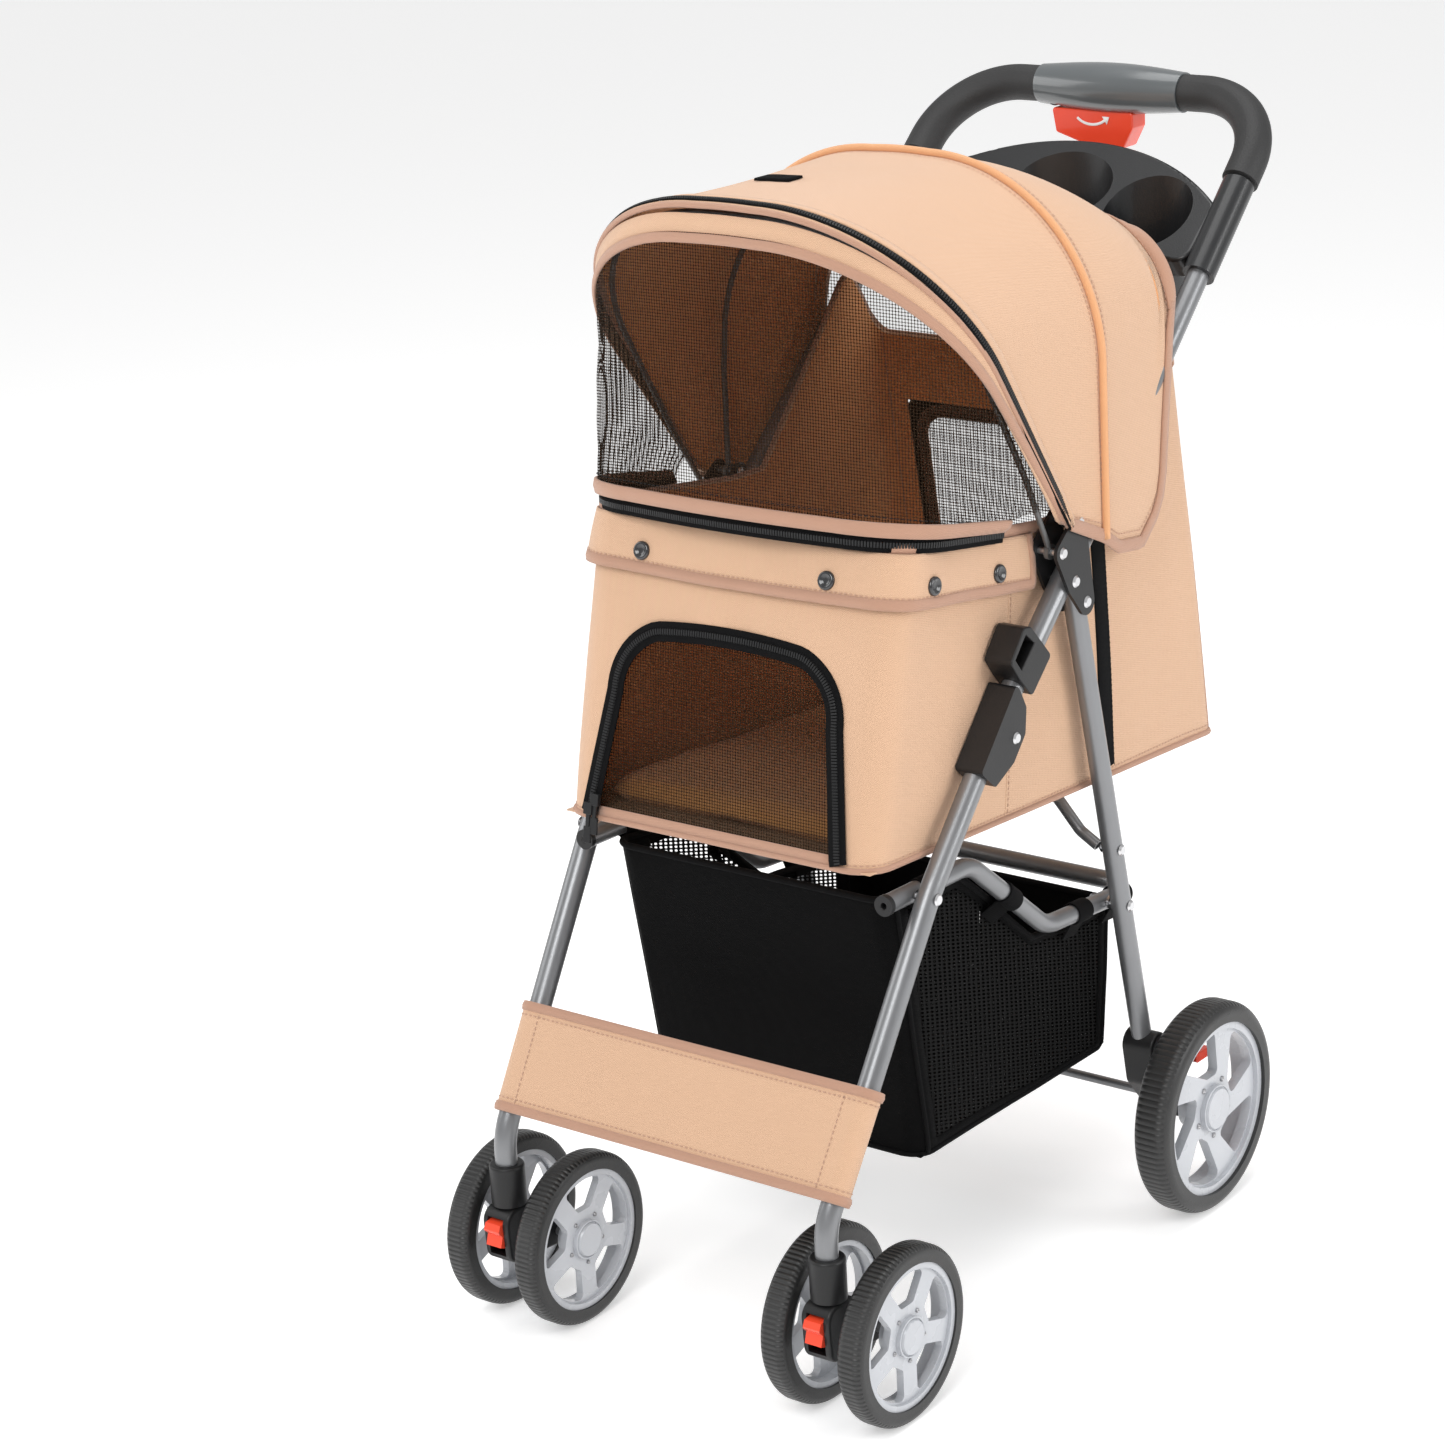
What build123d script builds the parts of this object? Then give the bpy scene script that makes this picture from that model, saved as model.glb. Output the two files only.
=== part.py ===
from build123d import *
import math
import os

# Folding pet stroller. Units are millimetres, +Z is up, the stroller faces -Y and +X is its left side.
# The origin is on the ground, in the middle of the overall length and width.
os.makedirs("parts", exist_ok=True)

# ---- driving dimensions ----
FRONT_AXLE_Y = -314.34          # front axle, measured from the middle of the overall length
FRONT_WHEEL_R = 75.0
REAR_WHEEL_R = 95.0
REAR_AXLE_Y = FRONT_AXLE_Y + 456.0
FRAME_X = 172.0                 # legs and handle sides, to each side of the middle
CASTER_X = 165.0
BASKET_TUBE_X = 152.0
MAIN_TUBE_D = 19.0
REAR_TUBE_D = 18.0
BASKET_TUBE_D = 16.0
TUBE_WALL = 1.2
PIN_R = 3.0
RUN_CLEARANCE = 0.05            # radial, between a pin and what turns on it
SLIP = 0.3                      # between faces that pass each other
CHEEK_T = 3.2                   # moulded plate beside a tube
HANDLE_ANGLE = 41.8             # handle side tubes above level, in degrees
LEG_TOP_ANGLE = 47.4            # upper stretch of the front legs above level, in degrees
CABIN_HALF_W = 155.0
CABIN_WALL = 3.0
HOOD_T = 2.0


def from_axle(y, z):
    """Side-view point, y measured back from the front axle."""
    return (FRONT_AXLE_Y + y, z)


JOINT = from_axle(215, 527)          # where front leg and handle tube meet
LATCH_PIVOT = from_axle(216, 506)
REAR_PIVOT = from_axle(326, 590)
BASKET_PIVOT = from_axle(388.5, 301)
FRONT_PIVOT = from_axle(103, 405)
SUPPORT_RIVET = from_axle(376, 356)
HOOD_PIVOT = from_axle(292, 640)
REAR_BOW_FOOT = from_axle(318, 660)
REAR_AXLE = (REAR_AXLE_Y, REAR_WHEEL_R)
BRAKE_PIVOT = from_axle(452, 130)
HANDLE_TOP_S = 622.0                 # along the handle from JOINT to the grip bar


def save(shape, name):
    """Labels a finished piece and writes it."""
    shape.label = name
    export_step(shape, f"parts/{name}.step")


def save_pair(shape, name):
    """Writes a left piece and its mirror image as two nodes."""
    save(shape, f"{name}_left")
    save(mirror(shape, about=Plane.YZ), f"{name}_right")


def save_both(shape, name):
    """Writes a left piece and its mirror image as one node of separate solids."""
    both = Compound(list(shape.solids()) + list(mirror(shape, about=Plane.YZ).solids()))
    save(both, name)


def along(start, angle, length, across=0.0):
    """Side-view point: length along a line from start, then across to its right, in degrees and mm."""
    a = math.radians(angle)
    y = start[0] + length * math.cos(a) + across * math.sin(a)
    z = start[1] + length * math.sin(a) - across * math.cos(a)
    return (y, z)


def at_x(x, point):
    """Side-view point as a point in space."""
    return (x, point[0], point[1])


def side_plane(x, point=(0.0, 0.0)):
    """Plane across X whose local x is +Y and local y is +Z."""
    return Plane(origin=(x, point[0], point[1]), x_dir=(0, 1, 0), z_dir=(1, 0, 0))


def tube(points, radii, diameter, wall=TUBE_WALL):
    """Bent round tube along a filleted polyline; wall 0 makes a solid rod."""
    with BuildPart() as made:
        with BuildLine() as path:
            FilletPolyline(*points, radius=radii)
        with BuildSketch(Plane(origin=path.line @ 0, z_dir=path.line % 0)):
            Circle(diameter / 2)
            if wall:
                Circle(diameter / 2 - wall, mode=Mode.SUBTRACT)
        sweep()
    return made.part


def straight_tube(start, end, diameter, wall=TUBE_WALL):
    """Straight round tube between two points."""
    axis = Vector(*end) - Vector(*start)
    with BuildPart() as made:
        with BuildSketch(Plane(origin=start, z_dir=axis)):
            Circle(diameter / 2)
            if wall:
                Circle(diameter / 2 - wall, mode=Mode.SUBTRACT)
        extrude(amount=axis.length)
    return made.part


def drilled(shape, points, radius, x_from, x_to):
    """Shape with holes across X at side-view points."""
    for point in points:
        with BuildPart() as drill:
            with BuildSketch(side_plane(x_from, point)):
                Circle(radius)
            extrude(amount=x_to - x_from)
        shape = shape - drill.part
    return shape


def rivet(point, x_from, x_to, radius=PIN_R, head_r=5.0, head_t=1.8):
    """Rivet across X with a coned head at each end; x_from and x_to are under the heads."""
    with BuildPart() as made:
        with BuildSketch(side_plane(x_from, point)):
            Circle(radius)
        extrude(amount=x_to - x_from)
        with BuildSketch(side_plane(x_to, point)):
            Circle(head_r)
        extrude(amount=head_t, taper=40)
        with BuildSketch(Plane(origin=at_x(x_from, point), x_dir=(0, 1, 0), z_dir=(-1, 0, 0))):
            Circle(head_r)
        extrude(amount=head_t, taper=40)
    return made.part


def plate(x_from, thickness, rounds, holes=(), hole_r=PIN_R):
    """Flat plate across X: the hull of circles (point, radius), with round holes."""
    with BuildPart() as made:
        with BuildSketch(side_plane(x_from)):
            for point, radius in rounds:
                with Locations(point):
                    Circle(radius)
            make_hull()
            for point in holes:
                with Locations(point):
                    Circle(hole_r, mode=Mode.SUBTRACT)
        extrude(amount=thickness)
    return made.part


# ---- wheels ----
def tyre(x_mid, axle, outer_r, inner_r, width):
    """Tyre with a rounded tread, turned about its axle."""
    with BuildPart() as made:
        with BuildSketch(Plane(origin=at_x(x_mid, axle), x_dir=(1, 0, 0), z_dir=(0, -1, 0))):
            with Locations((0, (outer_r + inner_r) / 2)):
                Rectangle(width, outer_r - inner_r)
            fillet(vertices().group_by(Axis.Y)[-1], 0.3 * width)
        revolve(axis=Axis(at_x(x_mid, axle), (1, 0, 0)))
    return made.part


def spoke_window(inner_r, outer_r, gap_in, gap_out, skew, corner_r):
    """Opening between two spokes; gaps are half angles in degrees, skew turns its outer end."""
    def polar(radius, angle):
        a = math.radians(angle)
        return (radius * math.cos(a), radius * math.sin(a))
    with BuildSketch() as window:
        with BuildLine():
            Polyline(polar(outer_r, skew - gap_out), polar(inner_r, -gap_in), polar(inner_r, gap_in),
                     polar(outer_r, skew + gap_out))
            ThreePointArc(polar(outer_r, skew + gap_out), polar(outer_r, skew), polar(outer_r, skew - gap_out))
        make_face()
        fillet(vertices(), corner_r)
    return window.sketch


def rim(x_mid, face, axle, size):
    """Moulded five-spoke rim. face is +1 or -1, the side that its hub cap is on."""
    outer_r, barrel_t, width, hub_r, cap_r, window = size
    opening = spoke_window(*window)
    web_t = width * 0.34
    web_x = x_mid + face * width * 0.18 - web_t / 2
    with BuildPart() as made:
        with BuildSketch(side_plane(x_mid - width / 2, axle)):
            Circle(outer_r)
            Circle(outer_r - barrel_t, mode=Mode.SUBTRACT)
        extrude(amount=width)
        with BuildSketch(side_plane(web_x, axle)):
            Circle(outer_r - barrel_t / 2)
        extrude(amount=web_t)
        with BuildSketch(side_plane(web_x - 1, axle)):
            with PolarLocations(0, 5, start_angle=18):
                add(opening)
        extrude(amount=web_t + 2, mode=Mode.SUBTRACT)
        with BuildSketch(side_plane(x_mid - width / 2, axle)):
            Circle(hub_r)
        extrude(amount=width)
        with BuildSketch(Plane(origin=at_x(x_mid + face * width / 2, axle), x_dir=(0, 1, 0), z_dir=(face, 0, 0))):
            Circle(cap_r)
        extrude(amount=2.4, taper=25)
        with BuildSketch(Plane(origin=at_x(x_mid - face * width / 2, axle), x_dir=(0, 1, 0), z_dir=(face, 0, 0))):
            Circle(4 + RUN_CLEARANCE)
        extrude(amount=width - 2, mode=Mode.SUBTRACT)
    return made.part


FRONT_RIM = (61.0, 5.0, 20.0, 17.0, 15.0, (28.0, 54.0, 17.0, 26.0, 0.0, 4.5))
REAR_RIM = (78.0, 6.5, 27.0, 21.0, 19.0, (31.0, 69.5, 17.0, 24.0, 20.0, 5.5))
FRONT_TYRE_W = 24.0
REAR_TYRE_W = 34.0
TWIN_OFFSET = 37.4                       # caster middle to the middle of each twin wheel
REAR_WHEEL_X = 210.0
front_axle = (FRONT_AXLE_Y, FRONT_WHEEL_R)

for side_name, x_sign in (("left", 1), ("right", -1)):
    for wheel_name, offset in (("outer", x_sign), ("inner", -x_sign)):
        wheel_x = x_sign * CASTER_X + offset * TWIN_OFFSET
        save(tyre(wheel_x, front_axle, FRONT_WHEEL_R, FRONT_RIM[0], FRONT_TYRE_W),
             f"front_tyre_{wheel_name}_{side_name}")
        save(rim(wheel_x, offset, front_axle, FRONT_RIM), f"front_rim_{wheel_name}_{side_name}")
    save(tyre(x_sign * REAR_WHEEL_X, REAR_AXLE, REAR_WHEEL_R, REAR_RIM[0], REAR_TYRE_W),
         f"rear_tyre_{side_name}")
    save(rim(x_sign * REAR_WHEEL_X, x_sign, REAR_AXLE, REAR_RIM), f"rear_rim_{side_name}")

# ---- rear frame ----
REAR_LEG_ANGLE = 102.2
rear_leg_top = along(REAR_PIVOT, REAR_LEG_ANGLE, 12)
rear_leg_foot = along(REAR_PIVOT, REAR_LEG_ANGLE, -494)
rear_leg = straight_tube(at_x(FRAME_X, rear_leg_foot), at_x(FRAME_X, rear_leg_top), REAR_TUBE_D)
rear_leg = drilled(rear_leg, [REAR_PIVOT], PIN_R + RUN_CLEARANCE, FRAME_X - 20, FRAME_X + 20)
rear_leg = drilled(rear_leg, [BASKET_PIVOT, SUPPORT_RIVET], PIN_R, FRAME_X - 20, FRAME_X + 20)
save_pair(rear_leg, "rear_leg")

axle_end_x = REAR_WHEEL_X + REAR_RIM[2] / 2 - 3
save(straight_tube(at_x(-axle_end_x, REAR_AXLE), at_x(axle_end_x, REAR_AXLE), 8, 0), "rear_axle")

HOUSING_X = 159.0
HOUSING_W = 30.0
leg_socket = along(REAR_PIVOT, REAR_LEG_ANGLE, -470)
with BuildPart() as rear_housing:
    with BuildSketch(side_plane(HOUSING_X)):
        for point, radius in ((leg_socket, 14), (REAR_AXLE, 15), (BRAKE_PIVOT, 9),
                              (along(REAR_PIVOT, REAR_LEG_ANGLE, -440), 13)):
            with Locations(point):
                Circle(radius)
        make_hull()
    extrude(amount=HOUSING_W)
    fillet(edges().group_by(Axis.X)[-1], 2.5)
    with BuildSketch(side_plane(HOUSING_X)):
        with Locations(REAR_AXLE, BRAKE_PIVOT):
            Circle(4.02)
    extrude(amount=HOUSING_W, mode=Mode.SUBTRACT)
    with BuildSketch(Plane(origin=at_x(FRAME_X, rear_leg_foot),
                           z_dir=Vector(*at_x(FRAME_X, rear_leg_top)) - Vector(*at_x(FRAME_X, rear_leg_foot)))):
        Circle(REAR_TUBE_D / 2)
    extrude(amount=90, mode=Mode.SUBTRACT)
    # room for the brake pedal's hub
    with BuildSketch(side_plane(HOUSING_X + 6)):
        with Locations(BRAKE_PIVOT):
            Circle(9.4)
        with Locations(along(BRAKE_PIVOT, 0, 10)):
            Rectangle(24, 22)
    extrude(amount=HOUSING_W - 12, mode=Mode.SUBTRACT)
save_both(rear_housing.part, "rear_wheel_housings")

support_rise = [at_x(FRAME_X - REAR_TUBE_D / 2 - 4.8, SUPPORT_RIVET), at_x(140, from_axle(377, 366)),
                at_x(112, from_axle(378, 397))]
support_points = support_rise + [(-x, y, z) for x, y, z in reversed(support_rise)]
save(tube(support_points, [16, 26, 26, 16], 10), "cabin_support_bar")

basket_pin = rivet(BASKET_PIVOT, BASKET_TUBE_X - BASKET_TUBE_D / 2 - 0.4, FRAME_X + REAR_TUBE_D / 2 + SLIP)
support_pin = rivet(SUPPORT_RIVET, FRAME_X - REAR_TUBE_D / 2 - SLIP, FRAME_X + REAR_TUBE_D / 2 + SLIP)
with BuildPart() as basket_spacer:
    with BuildSketch(side_plane(BASKET_TUBE_X + BASKET_TUBE_D / 2 + SLIP, BASKET_PIVOT)):
        Circle(6)
        Circle(PIN_R, mode=Mode.SUBTRACT)
    extrude(amount=FRAME_X - REAR_TUBE_D / 2 - BASKET_TUBE_X - BASKET_TUBE_D / 2 - 2 * SLIP)
with BuildPart() as brake_pin:
    with BuildSketch(side_plane(HOUSING_X, BRAKE_PIVOT)):
        Circle(4.02)
    extrude(amount=HOUSING_W)
save_both(Compound([basket_pin, support_pin, basket_spacer.part, brake_pin.part]), "rear_frame_rivets")

# ---- brake pedals ----
with BuildPart() as brake_pedal:
    with BuildSketch(side_plane(HOUSING_X + 6.4)):
        with Locations(BRAKE_PIVOT):
            Circle(8.6)
        with Locations(along(BRAKE_PIVOT, 0, 20)):
            Rectangle(32, 8)
    extrude(amount=HOUSING_W - 12.8)
    with BuildSketch(side_plane(HOUSING_X - 3)):
        with Locations(along(BRAKE_PIVOT, -8, 42)):
            RectangleRounded(24, 9, 3)
    extrude(amount=HOUSING_W + 2)
    with BuildSketch(side_plane(HOUSING_X)):
        with Locations(BRAKE_PIVOT):
            Circle(4.02 + RUN_CLEARANCE)
    extrude(amount=HOUSING_W, mode=Mode.SUBTRACT)
save_pair(brake_pedal.part, "brake_pedal")

# ---- casters ----
STEM_Y = FRONT_AXLE_Y - 43.0
FORK_W = 28.0
SOCKET_Z = 116.5
with BuildPart() as fork:
    with BuildSketch(side_plane(CASTER_X - FORK_W / 2)):
        for point, radius in (((STEM_Y - 8, 103), 12.5), ((STEM_Y + 9, 103), 12.5), ((STEM_Y - 8, 78), 11),
                              (front_axle, 13)):
            with Locations(point):
                Circle(radius)
        make_hull()
    extrude(amount=FORK_W)
    fillet(edges().group_by(Axis.X)[0] + edges().group_by(Axis.X)[-1], 3)
    with BuildSketch(Plane(origin=(CASTER_X, STEM_Y, SOCKET_Z - 8))):
        Circle(5)
    extrude(amount=26)
    with BuildSketch(side_plane(CASTER_X - FORK_W, front_axle)):
        Circle(4)
    extrude(amount=2 * FORK_W, mode=Mode.SUBTRACT)
    # pocket for the swivel lock lever, open at the front
    with BuildSketch(Plane(origin=(CASTER_X, STEM_Y - 30, 92), x_dir=(1, 0, 0), z_dir=(0, 1, 0))):
        Rectangle(17, 34)
    extrude(amount=22, mode=Mode.SUBTRACT)
save_pair(fork.part, "caster_fork")

twin_end = TWIN_OFFSET + FRONT_RIM[2] / 2 - 3
caster_axle = straight_tube(at_x(CASTER_X - twin_end, front_axle), at_x(CASTER_X + twin_end, front_axle), 8, 0)
save_pair(caster_axle, "caster_axle")

with BuildPart() as lock_lever:
    with BuildSketch(side_plane(CASTER_X - 8)):
        Polygon((STEM_Y - 8.5, 107), (STEM_Y - 23, 105), (STEM_Y - 26, 99), (STEM_Y - 21, 94),
                (STEM_Y - 24, 85), (STEM_Y - 17, 82.5), (STEM_Y - 8.5, 84), align=None)
    extrude(amount=16)
    fillet(edges().filter_by(Axis.X).group_by(Axis.Y)[0], 2)
save_pair(lock_lever.part, "caster_lock_lever")

# ---- front frame ----
leg_route = [(CASTER_X, STEM_Y, 136), (CASTER_X, STEM_Y, 178), at_x(FRAME_X, from_axle(105, 407)),
             at_x(FRAME_X, along(JOINT, LEG_TOP_ANGLE, -27))]
front_leg = tube(leg_route, [55, 160], MAIN_TUBE_D)
front_leg = drilled(front_leg, [FRONT_PIVOT], PIN_R, FRAME_X - 20, FRAME_X + 20)
save_pair(front_leg, "front_leg")

with BuildPart() as socket:
    with BuildSketch(Plane(origin=(CASTER_X, STEM_Y, SOCKET_Z))):
        Circle(15)
    extrude(amount=36)
    fillet(edges().group_by(Axis.Z)[-1], 2.5)
    with BuildSketch(Plane(origin=(CASTER_X, STEM_Y, SOCKET_Z))):
        Circle(5 + RUN_CLEARANCE)
    extrude(amount=18.5, mode=Mode.SUBTRACT)
    with BuildSketch(Plane(origin=(CASTER_X, STEM_Y, 136))):
        Circle(MAIN_TUBE_D / 2)
    extrude(amount=30, mode=Mode.SUBTRACT)
save_both(socket.part, "caster_sockets")

cheek_gap = MAIN_TUBE_D / 2 + SLIP
cheek_outline = ((-60, -13), (-60, 13), (-32, 25), (-6, 25), (12, 12), (18, -4), (20, -13))
with BuildPart() as latch_housing:
    with BuildSketch(side_plane(FRAME_X - cheek_gap - CHEEK_T)):
        Polygon(*[along(JOINT, LEG_TOP_ANGLE, s, w) for s, w in cheek_outline], align=None)
        fillet(vertices(), 3.5)
    extrude(amount=2 * (cheek_gap + CHEEK_T))
    # room between the cheeks for the hinge tang and for the handle tube, open above and behind
    with BuildSketch(side_plane(FRAME_X - cheek_gap)):
        hollow = ((-25, -9.9), (-25, 11.5), (-50, 11.5), (-50, 60), (60, 60), (60, -9.9))
        Polygon(*[along(JOINT, LEG_TOP_ANGLE, s, w) for s, w in hollow], align=None)
    extrude(amount=2 * cheek_gap, mode=Mode.SUBTRACT)
    with BuildSketch(Plane(origin=at_x(FRAME_X, along(JOINT, LEG_TOP_ANGLE, -70)),
                           z_dir=at_x(0, along((0, 0), LEG_TOP_ANGLE, 1)))):
        Circle(MAIN_TUBE_D / 2)
    extrude(amount=46, mode=Mode.SUBTRACT)
    with BuildSketch(side_plane(FRAME_X - 20, LATCH_PIVOT)):
        Circle(PIN_R)
    extrude(amount=40, mode=Mode.SUBTRACT)
save_both(latch_housing.part, "latch_housings")

cheek_out = cheek_gap + CHEEK_T
front_rivets = [rivet(LATCH_PIVOT, FRAME_X - cheek_out - SLIP / 2, FRAME_X + cheek_out + SLIP / 2, head_t=1.6),
                rivet(FRONT_PIVOT, FRAME_X - MAIN_TUBE_D / 2 - SLIP, FRAME_X + MAIN_TUBE_D / 2 + SLIP, head_t=1.4)]
save_both(Compound(front_rivets), "front_frame_rivets")

PANEL_OFFSET = 11.3
panel_low = along(from_axle(-37, 188), 57, 0, -PANEL_OFFSET)
panel_high = along(from_axle(16, 270), 57, 0, -PANEL_OFFSET)
with BuildPart() as front_panel:
    with BuildSketch(Plane.YZ.offset(-176)):
        with BuildLine():
            low_back = along(panel_low, 57, 0, 2.0)
            high_back = along(panel_high, 57, 0, 2.0)
            Polyline(panel_low, panel_high, high_back, low_back, close=True)
        make_face()
    extrude(amount=352)
save(front_panel.part, "front_panel")

# ---- basket frame ----
basket_side = [at_x(BASKET_TUBE_X, from_axle(y, z)) for y, z in ((75, 405), (190, 400), (300, 308), (446, 294))]
basket_points = basket_side + [(-x, y, z) for x, y, z in reversed(basket_side)]
basket_tube = tube(basket_points, [45, 45, 36, 36, 45, 45], BASKET_TUBE_D)
basket_tube = drilled(basket_tube, [BASKET_PIVOT], PIN_R + RUN_CLEARANCE, BASKET_TUBE_X - 15, BASKET_TUBE_X + 15)
basket_tube = drilled(basket_tube, [BASKET_PIVOT], PIN_R + RUN_CLEARANCE, -BASKET_TUBE_X - 15, -BASKET_TUBE_X + 15)
save(basket_tube, "basket_tube")

with BuildPart() as end_cap:
    cap_axis = Vector(0, -115, 5)
    with BuildSketch(Plane(origin=at_x(BASKET_TUBE_X, from_axle(75, 405)), z_dir=cap_axis)):
        Circle(BASKET_TUBE_D / 2 + 0.6)
        Circle(2.5, mode=Mode.SUBTRACT)
    extrude(amount=5)
    fillet(edges().group_by(Axis.Y)[0].sort_by(SortBy.RADIUS)[-1], 1.2)
save_both(end_cap.part, "basket_tube_caps")

BASKET_HALF_W = 141.0
basket_outline = [from_axle(y, z) for y, z in ((91, 399), (188, 391), (296, 296), (430, 283), (420, 150), (128, 154))]
with BuildPart() as basket:
    with BuildSketch(side_plane(-BASKET_HALF_W)):
        Polygon(*basket_outline, align=None)
    extrude(amount=2 * BASKET_HALF_W)
    with BuildSketch(side_plane(-BASKET_HALF_W + 2.5)):
        front_top, front_dip, rear_dip, rear_top, rear_low, front_low = basket_outline
        Polygon((front_top[0] + 2.7, front_top[1] + 30), (rear_top[0] - 2.5, rear_top[1] + 140),
                (rear_top[0] - 2.5, rear_top[1]), (rear_low[0] - 2.5, rear_low[1] + 2.5),
                (front_low[0] + 2.5, front_low[1] + 2.5), (front_top[0] + 2.7, front_top[1]), align=None)
    extrude(amount=2 * BASKET_HALF_W - 5, mode=Mode.SUBTRACT)
save(basket.part, "basket")

# ---- handle frame ----
handle_dir = Vector(*at_x(0, along((0, 0), HANDLE_ANGLE, 1)))
handle_plane = Plane(origin=at_x(0, JOINT), x_dir=(1, 0, 0), z_dir=Vector(1, 0, 0).cross(handle_dir))
GRIP_HALF_W = 164.0
TANG_S = 14.0


def on_handle(x, s, height=0.0):
    """Point by the handle's plane: x across, s up along the side tubes from JOINT, height above."""
    return handle_plane.from_local_coords(Vector(x, s, height))


handle_side = [on_handle(FRAME_X, TANG_S), on_handle(FRAME_X, 160), on_handle(GRIP_HALF_W, HANDLE_TOP_S)]
handle_points = handle_side + [Vector(-p.X, p.Y, p.Z) for p in reversed(handle_side)]
handle_tube = tube(handle_points, [300, 72, 72, 300], MAIN_TUBE_D)
tube_rivet = along(JOINT, HANDLE_ANGLE, 127)
for x_from in (-FRAME_X - 20, FRAME_X - 20):
    handle_tube = drilled(handle_tube, [tube_rivet], PIN_R, x_from, x_from + 40)
save(handle_tube, "handle_tube")

with BuildPart() as tang:
    with BuildSketch(side_plane(FRAME_X - MAIN_TUBE_D / 2)):
        with Locations(LATCH_PIVOT):
            Circle(8)
        with Locations(along(JOINT, HANDLE_ANGLE, 8, 3)):
            Circle(5.5)
        with Locations(along(JOINT, HANDLE_ANGLE, 8, -3)):
            Circle(5.5)
        make_hull()
    extrude(amount=MAIN_TUBE_D)
    with BuildSketch(Plane(origin=at_x(FRAME_X, along(JOINT, HANDLE_ANGLE, 6)), z_dir=handle_dir)):
        Circle(MAIN_TUBE_D / 2)
    extrude(amount=TANG_S - 6)
    with BuildSketch(Plane(origin=at_x(FRAME_X, along(JOINT, HANDLE_ANGLE, 10)), z_dir=handle_dir)):
        Circle(MAIN_TUBE_D / 2 - TUBE_WALL - 0.1)
    extrude(amount=26)
    with BuildSketch(side_plane(FRAME_X - 20, LATCH_PIVOT)):
        Circle(PIN_R + RUN_CLEARANCE)
    extrude(amount=40, mode=Mode.SUBTRACT)
save_both(tang.part, "hinge_tangs")

bracket_rounds = ((REAR_PIVOT, 11), (tube_rivet, 12), (HOOD_PIVOT, 9.5), (REAR_BOW_FOOT, 9))
bracket_holes = (REAR_PIVOT, tube_rivet, HOOD_PIVOT, REAR_BOW_FOOT)
outer_plate = plate(FRAME_X + cheek_gap, CHEEK_T, bracket_rounds, bracket_holes)
inner_plate = plate(FRAME_X - cheek_gap - CHEEK_T, CHEEK_T, bracket_rounds, bracket_holes)
save_both(Compound([outer_plate, inner_plate]), "hinge_brackets")

bracket_rivets = [rivet(p, FRAME_X - cheek_out, FRAME_X + cheek_out, head_t=1.7) for p in bracket_holes]
save_both(Compound(bracket_rivets), "bracket_rivets")

FOAM_D = 32.0
FOAM_START_S = 533.0
SHELL_HALF_W = 73.0
foam_lean = (FRAME_X - GRIP_HALF_W) / (HANDLE_TOP_S - 160)
foam_start = on_handle(GRIP_HALF_W + foam_lean * (HANDLE_TOP_S - FOAM_START_S), FOAM_START_S)
foam_points = [foam_start, on_handle(GRIP_HALF_W, HANDLE_TOP_S), on_handle(SHELL_HALF_W + 0.5, HANDLE_TOP_S)]
save_both(tube(foam_points, [72], FOAM_D, (FOAM_D - MAIN_TUBE_D) / 2 - 0.1), "grip_foams")

grip_axis = on_handle(0, HANDLE_TOP_S)
GRIP_STATIONS = ((-73, 17.5, 17.5), (-45, 22, 20), (0, 25, 22), (45, 22, 20), (73, 17.5, 17.5))
TRIGGER_X = (-58.0, 26.0)


def grip_plane(x):
    return side_plane(x, (grip_axis.Y, grip_axis.Z))


with BuildPart() as grip:
    for station_x, radius_y, radius_z in GRIP_STATIONS:
        with BuildSketch(grip_plane(station_x)):
            Ellipse(radius_y, radius_z)
    loft()
    with BuildSketch(grip_plane(-80)):
        Circle(MAIN_TUBE_D / 2 + 0.05)
    extrude(amount=160, mode=Mode.SUBTRACT)
    with BuildSketch(Plane(origin=(0, grip_axis.Y, grip_axis.Z - 40))):
        with Locations(((TRIGGER_X[0] + TRIGGER_X[1]) / 2, 0)):
            Rectangle(TRIGGER_X[1] - TRIGGER_X[0] + 2, 25)
    extrude(amount=31, mode=Mode.SUBTRACT)
with BuildPart() as grip_upper:
    add(grip.part)
    split(bisect_by=Plane(origin=(0, 0, grip_axis.Z)), keep=Keep.TOP)
save(grip_upper.part, "grip_shell_upper")
with BuildPart() as grip_lower:
    add(grip.part)
    split(bisect_by=Plane(origin=(0, 0, grip_axis.Z)), keep=Keep.BOTTOM)
save(grip_lower.part, "grip_shell_lower")

with BuildPart() as trigger:
    with BuildSketch(Plane(origin=(0, grip_axis.Y + 11.5, 0), x_dir=(1, 0, 0), z_dir=(0, -1, 0))):
        top_z = grip_axis.Z - 18.5
        Polygon((TRIGGER_X[0], top_z), (TRIGGER_X[1], top_z), (TRIGGER_X[1], top_z - 14),
                (TRIGGER_X[1] - 10, top_z - 33), (TRIGGER_X[0] + 30, top_z - 30), (TRIGGER_X[0] + 4, top_z - 22),
                align=None)
        fillet(vertices(), 3)
    extrude(amount=23)
    fillet(edges().group_by(Axis.Y)[0] + edges().group_by(Axis.Y)[-1], 2)
save(trigger.part, "release_trigger")

CABLE_H = 5.5
cable_side = [on_handle(FRAME_X, 40, CABLE_H), on_handle(FRAME_X, 160, CABLE_H),
              on_handle(GRIP_HALF_W, HANDLE_TOP_S, CABLE_H), on_handle(30, HANDLE_TOP_S, CABLE_H)]
save_both(tube(cable_side, [300, 72], 2.0, 0), "release_cables")

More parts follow.
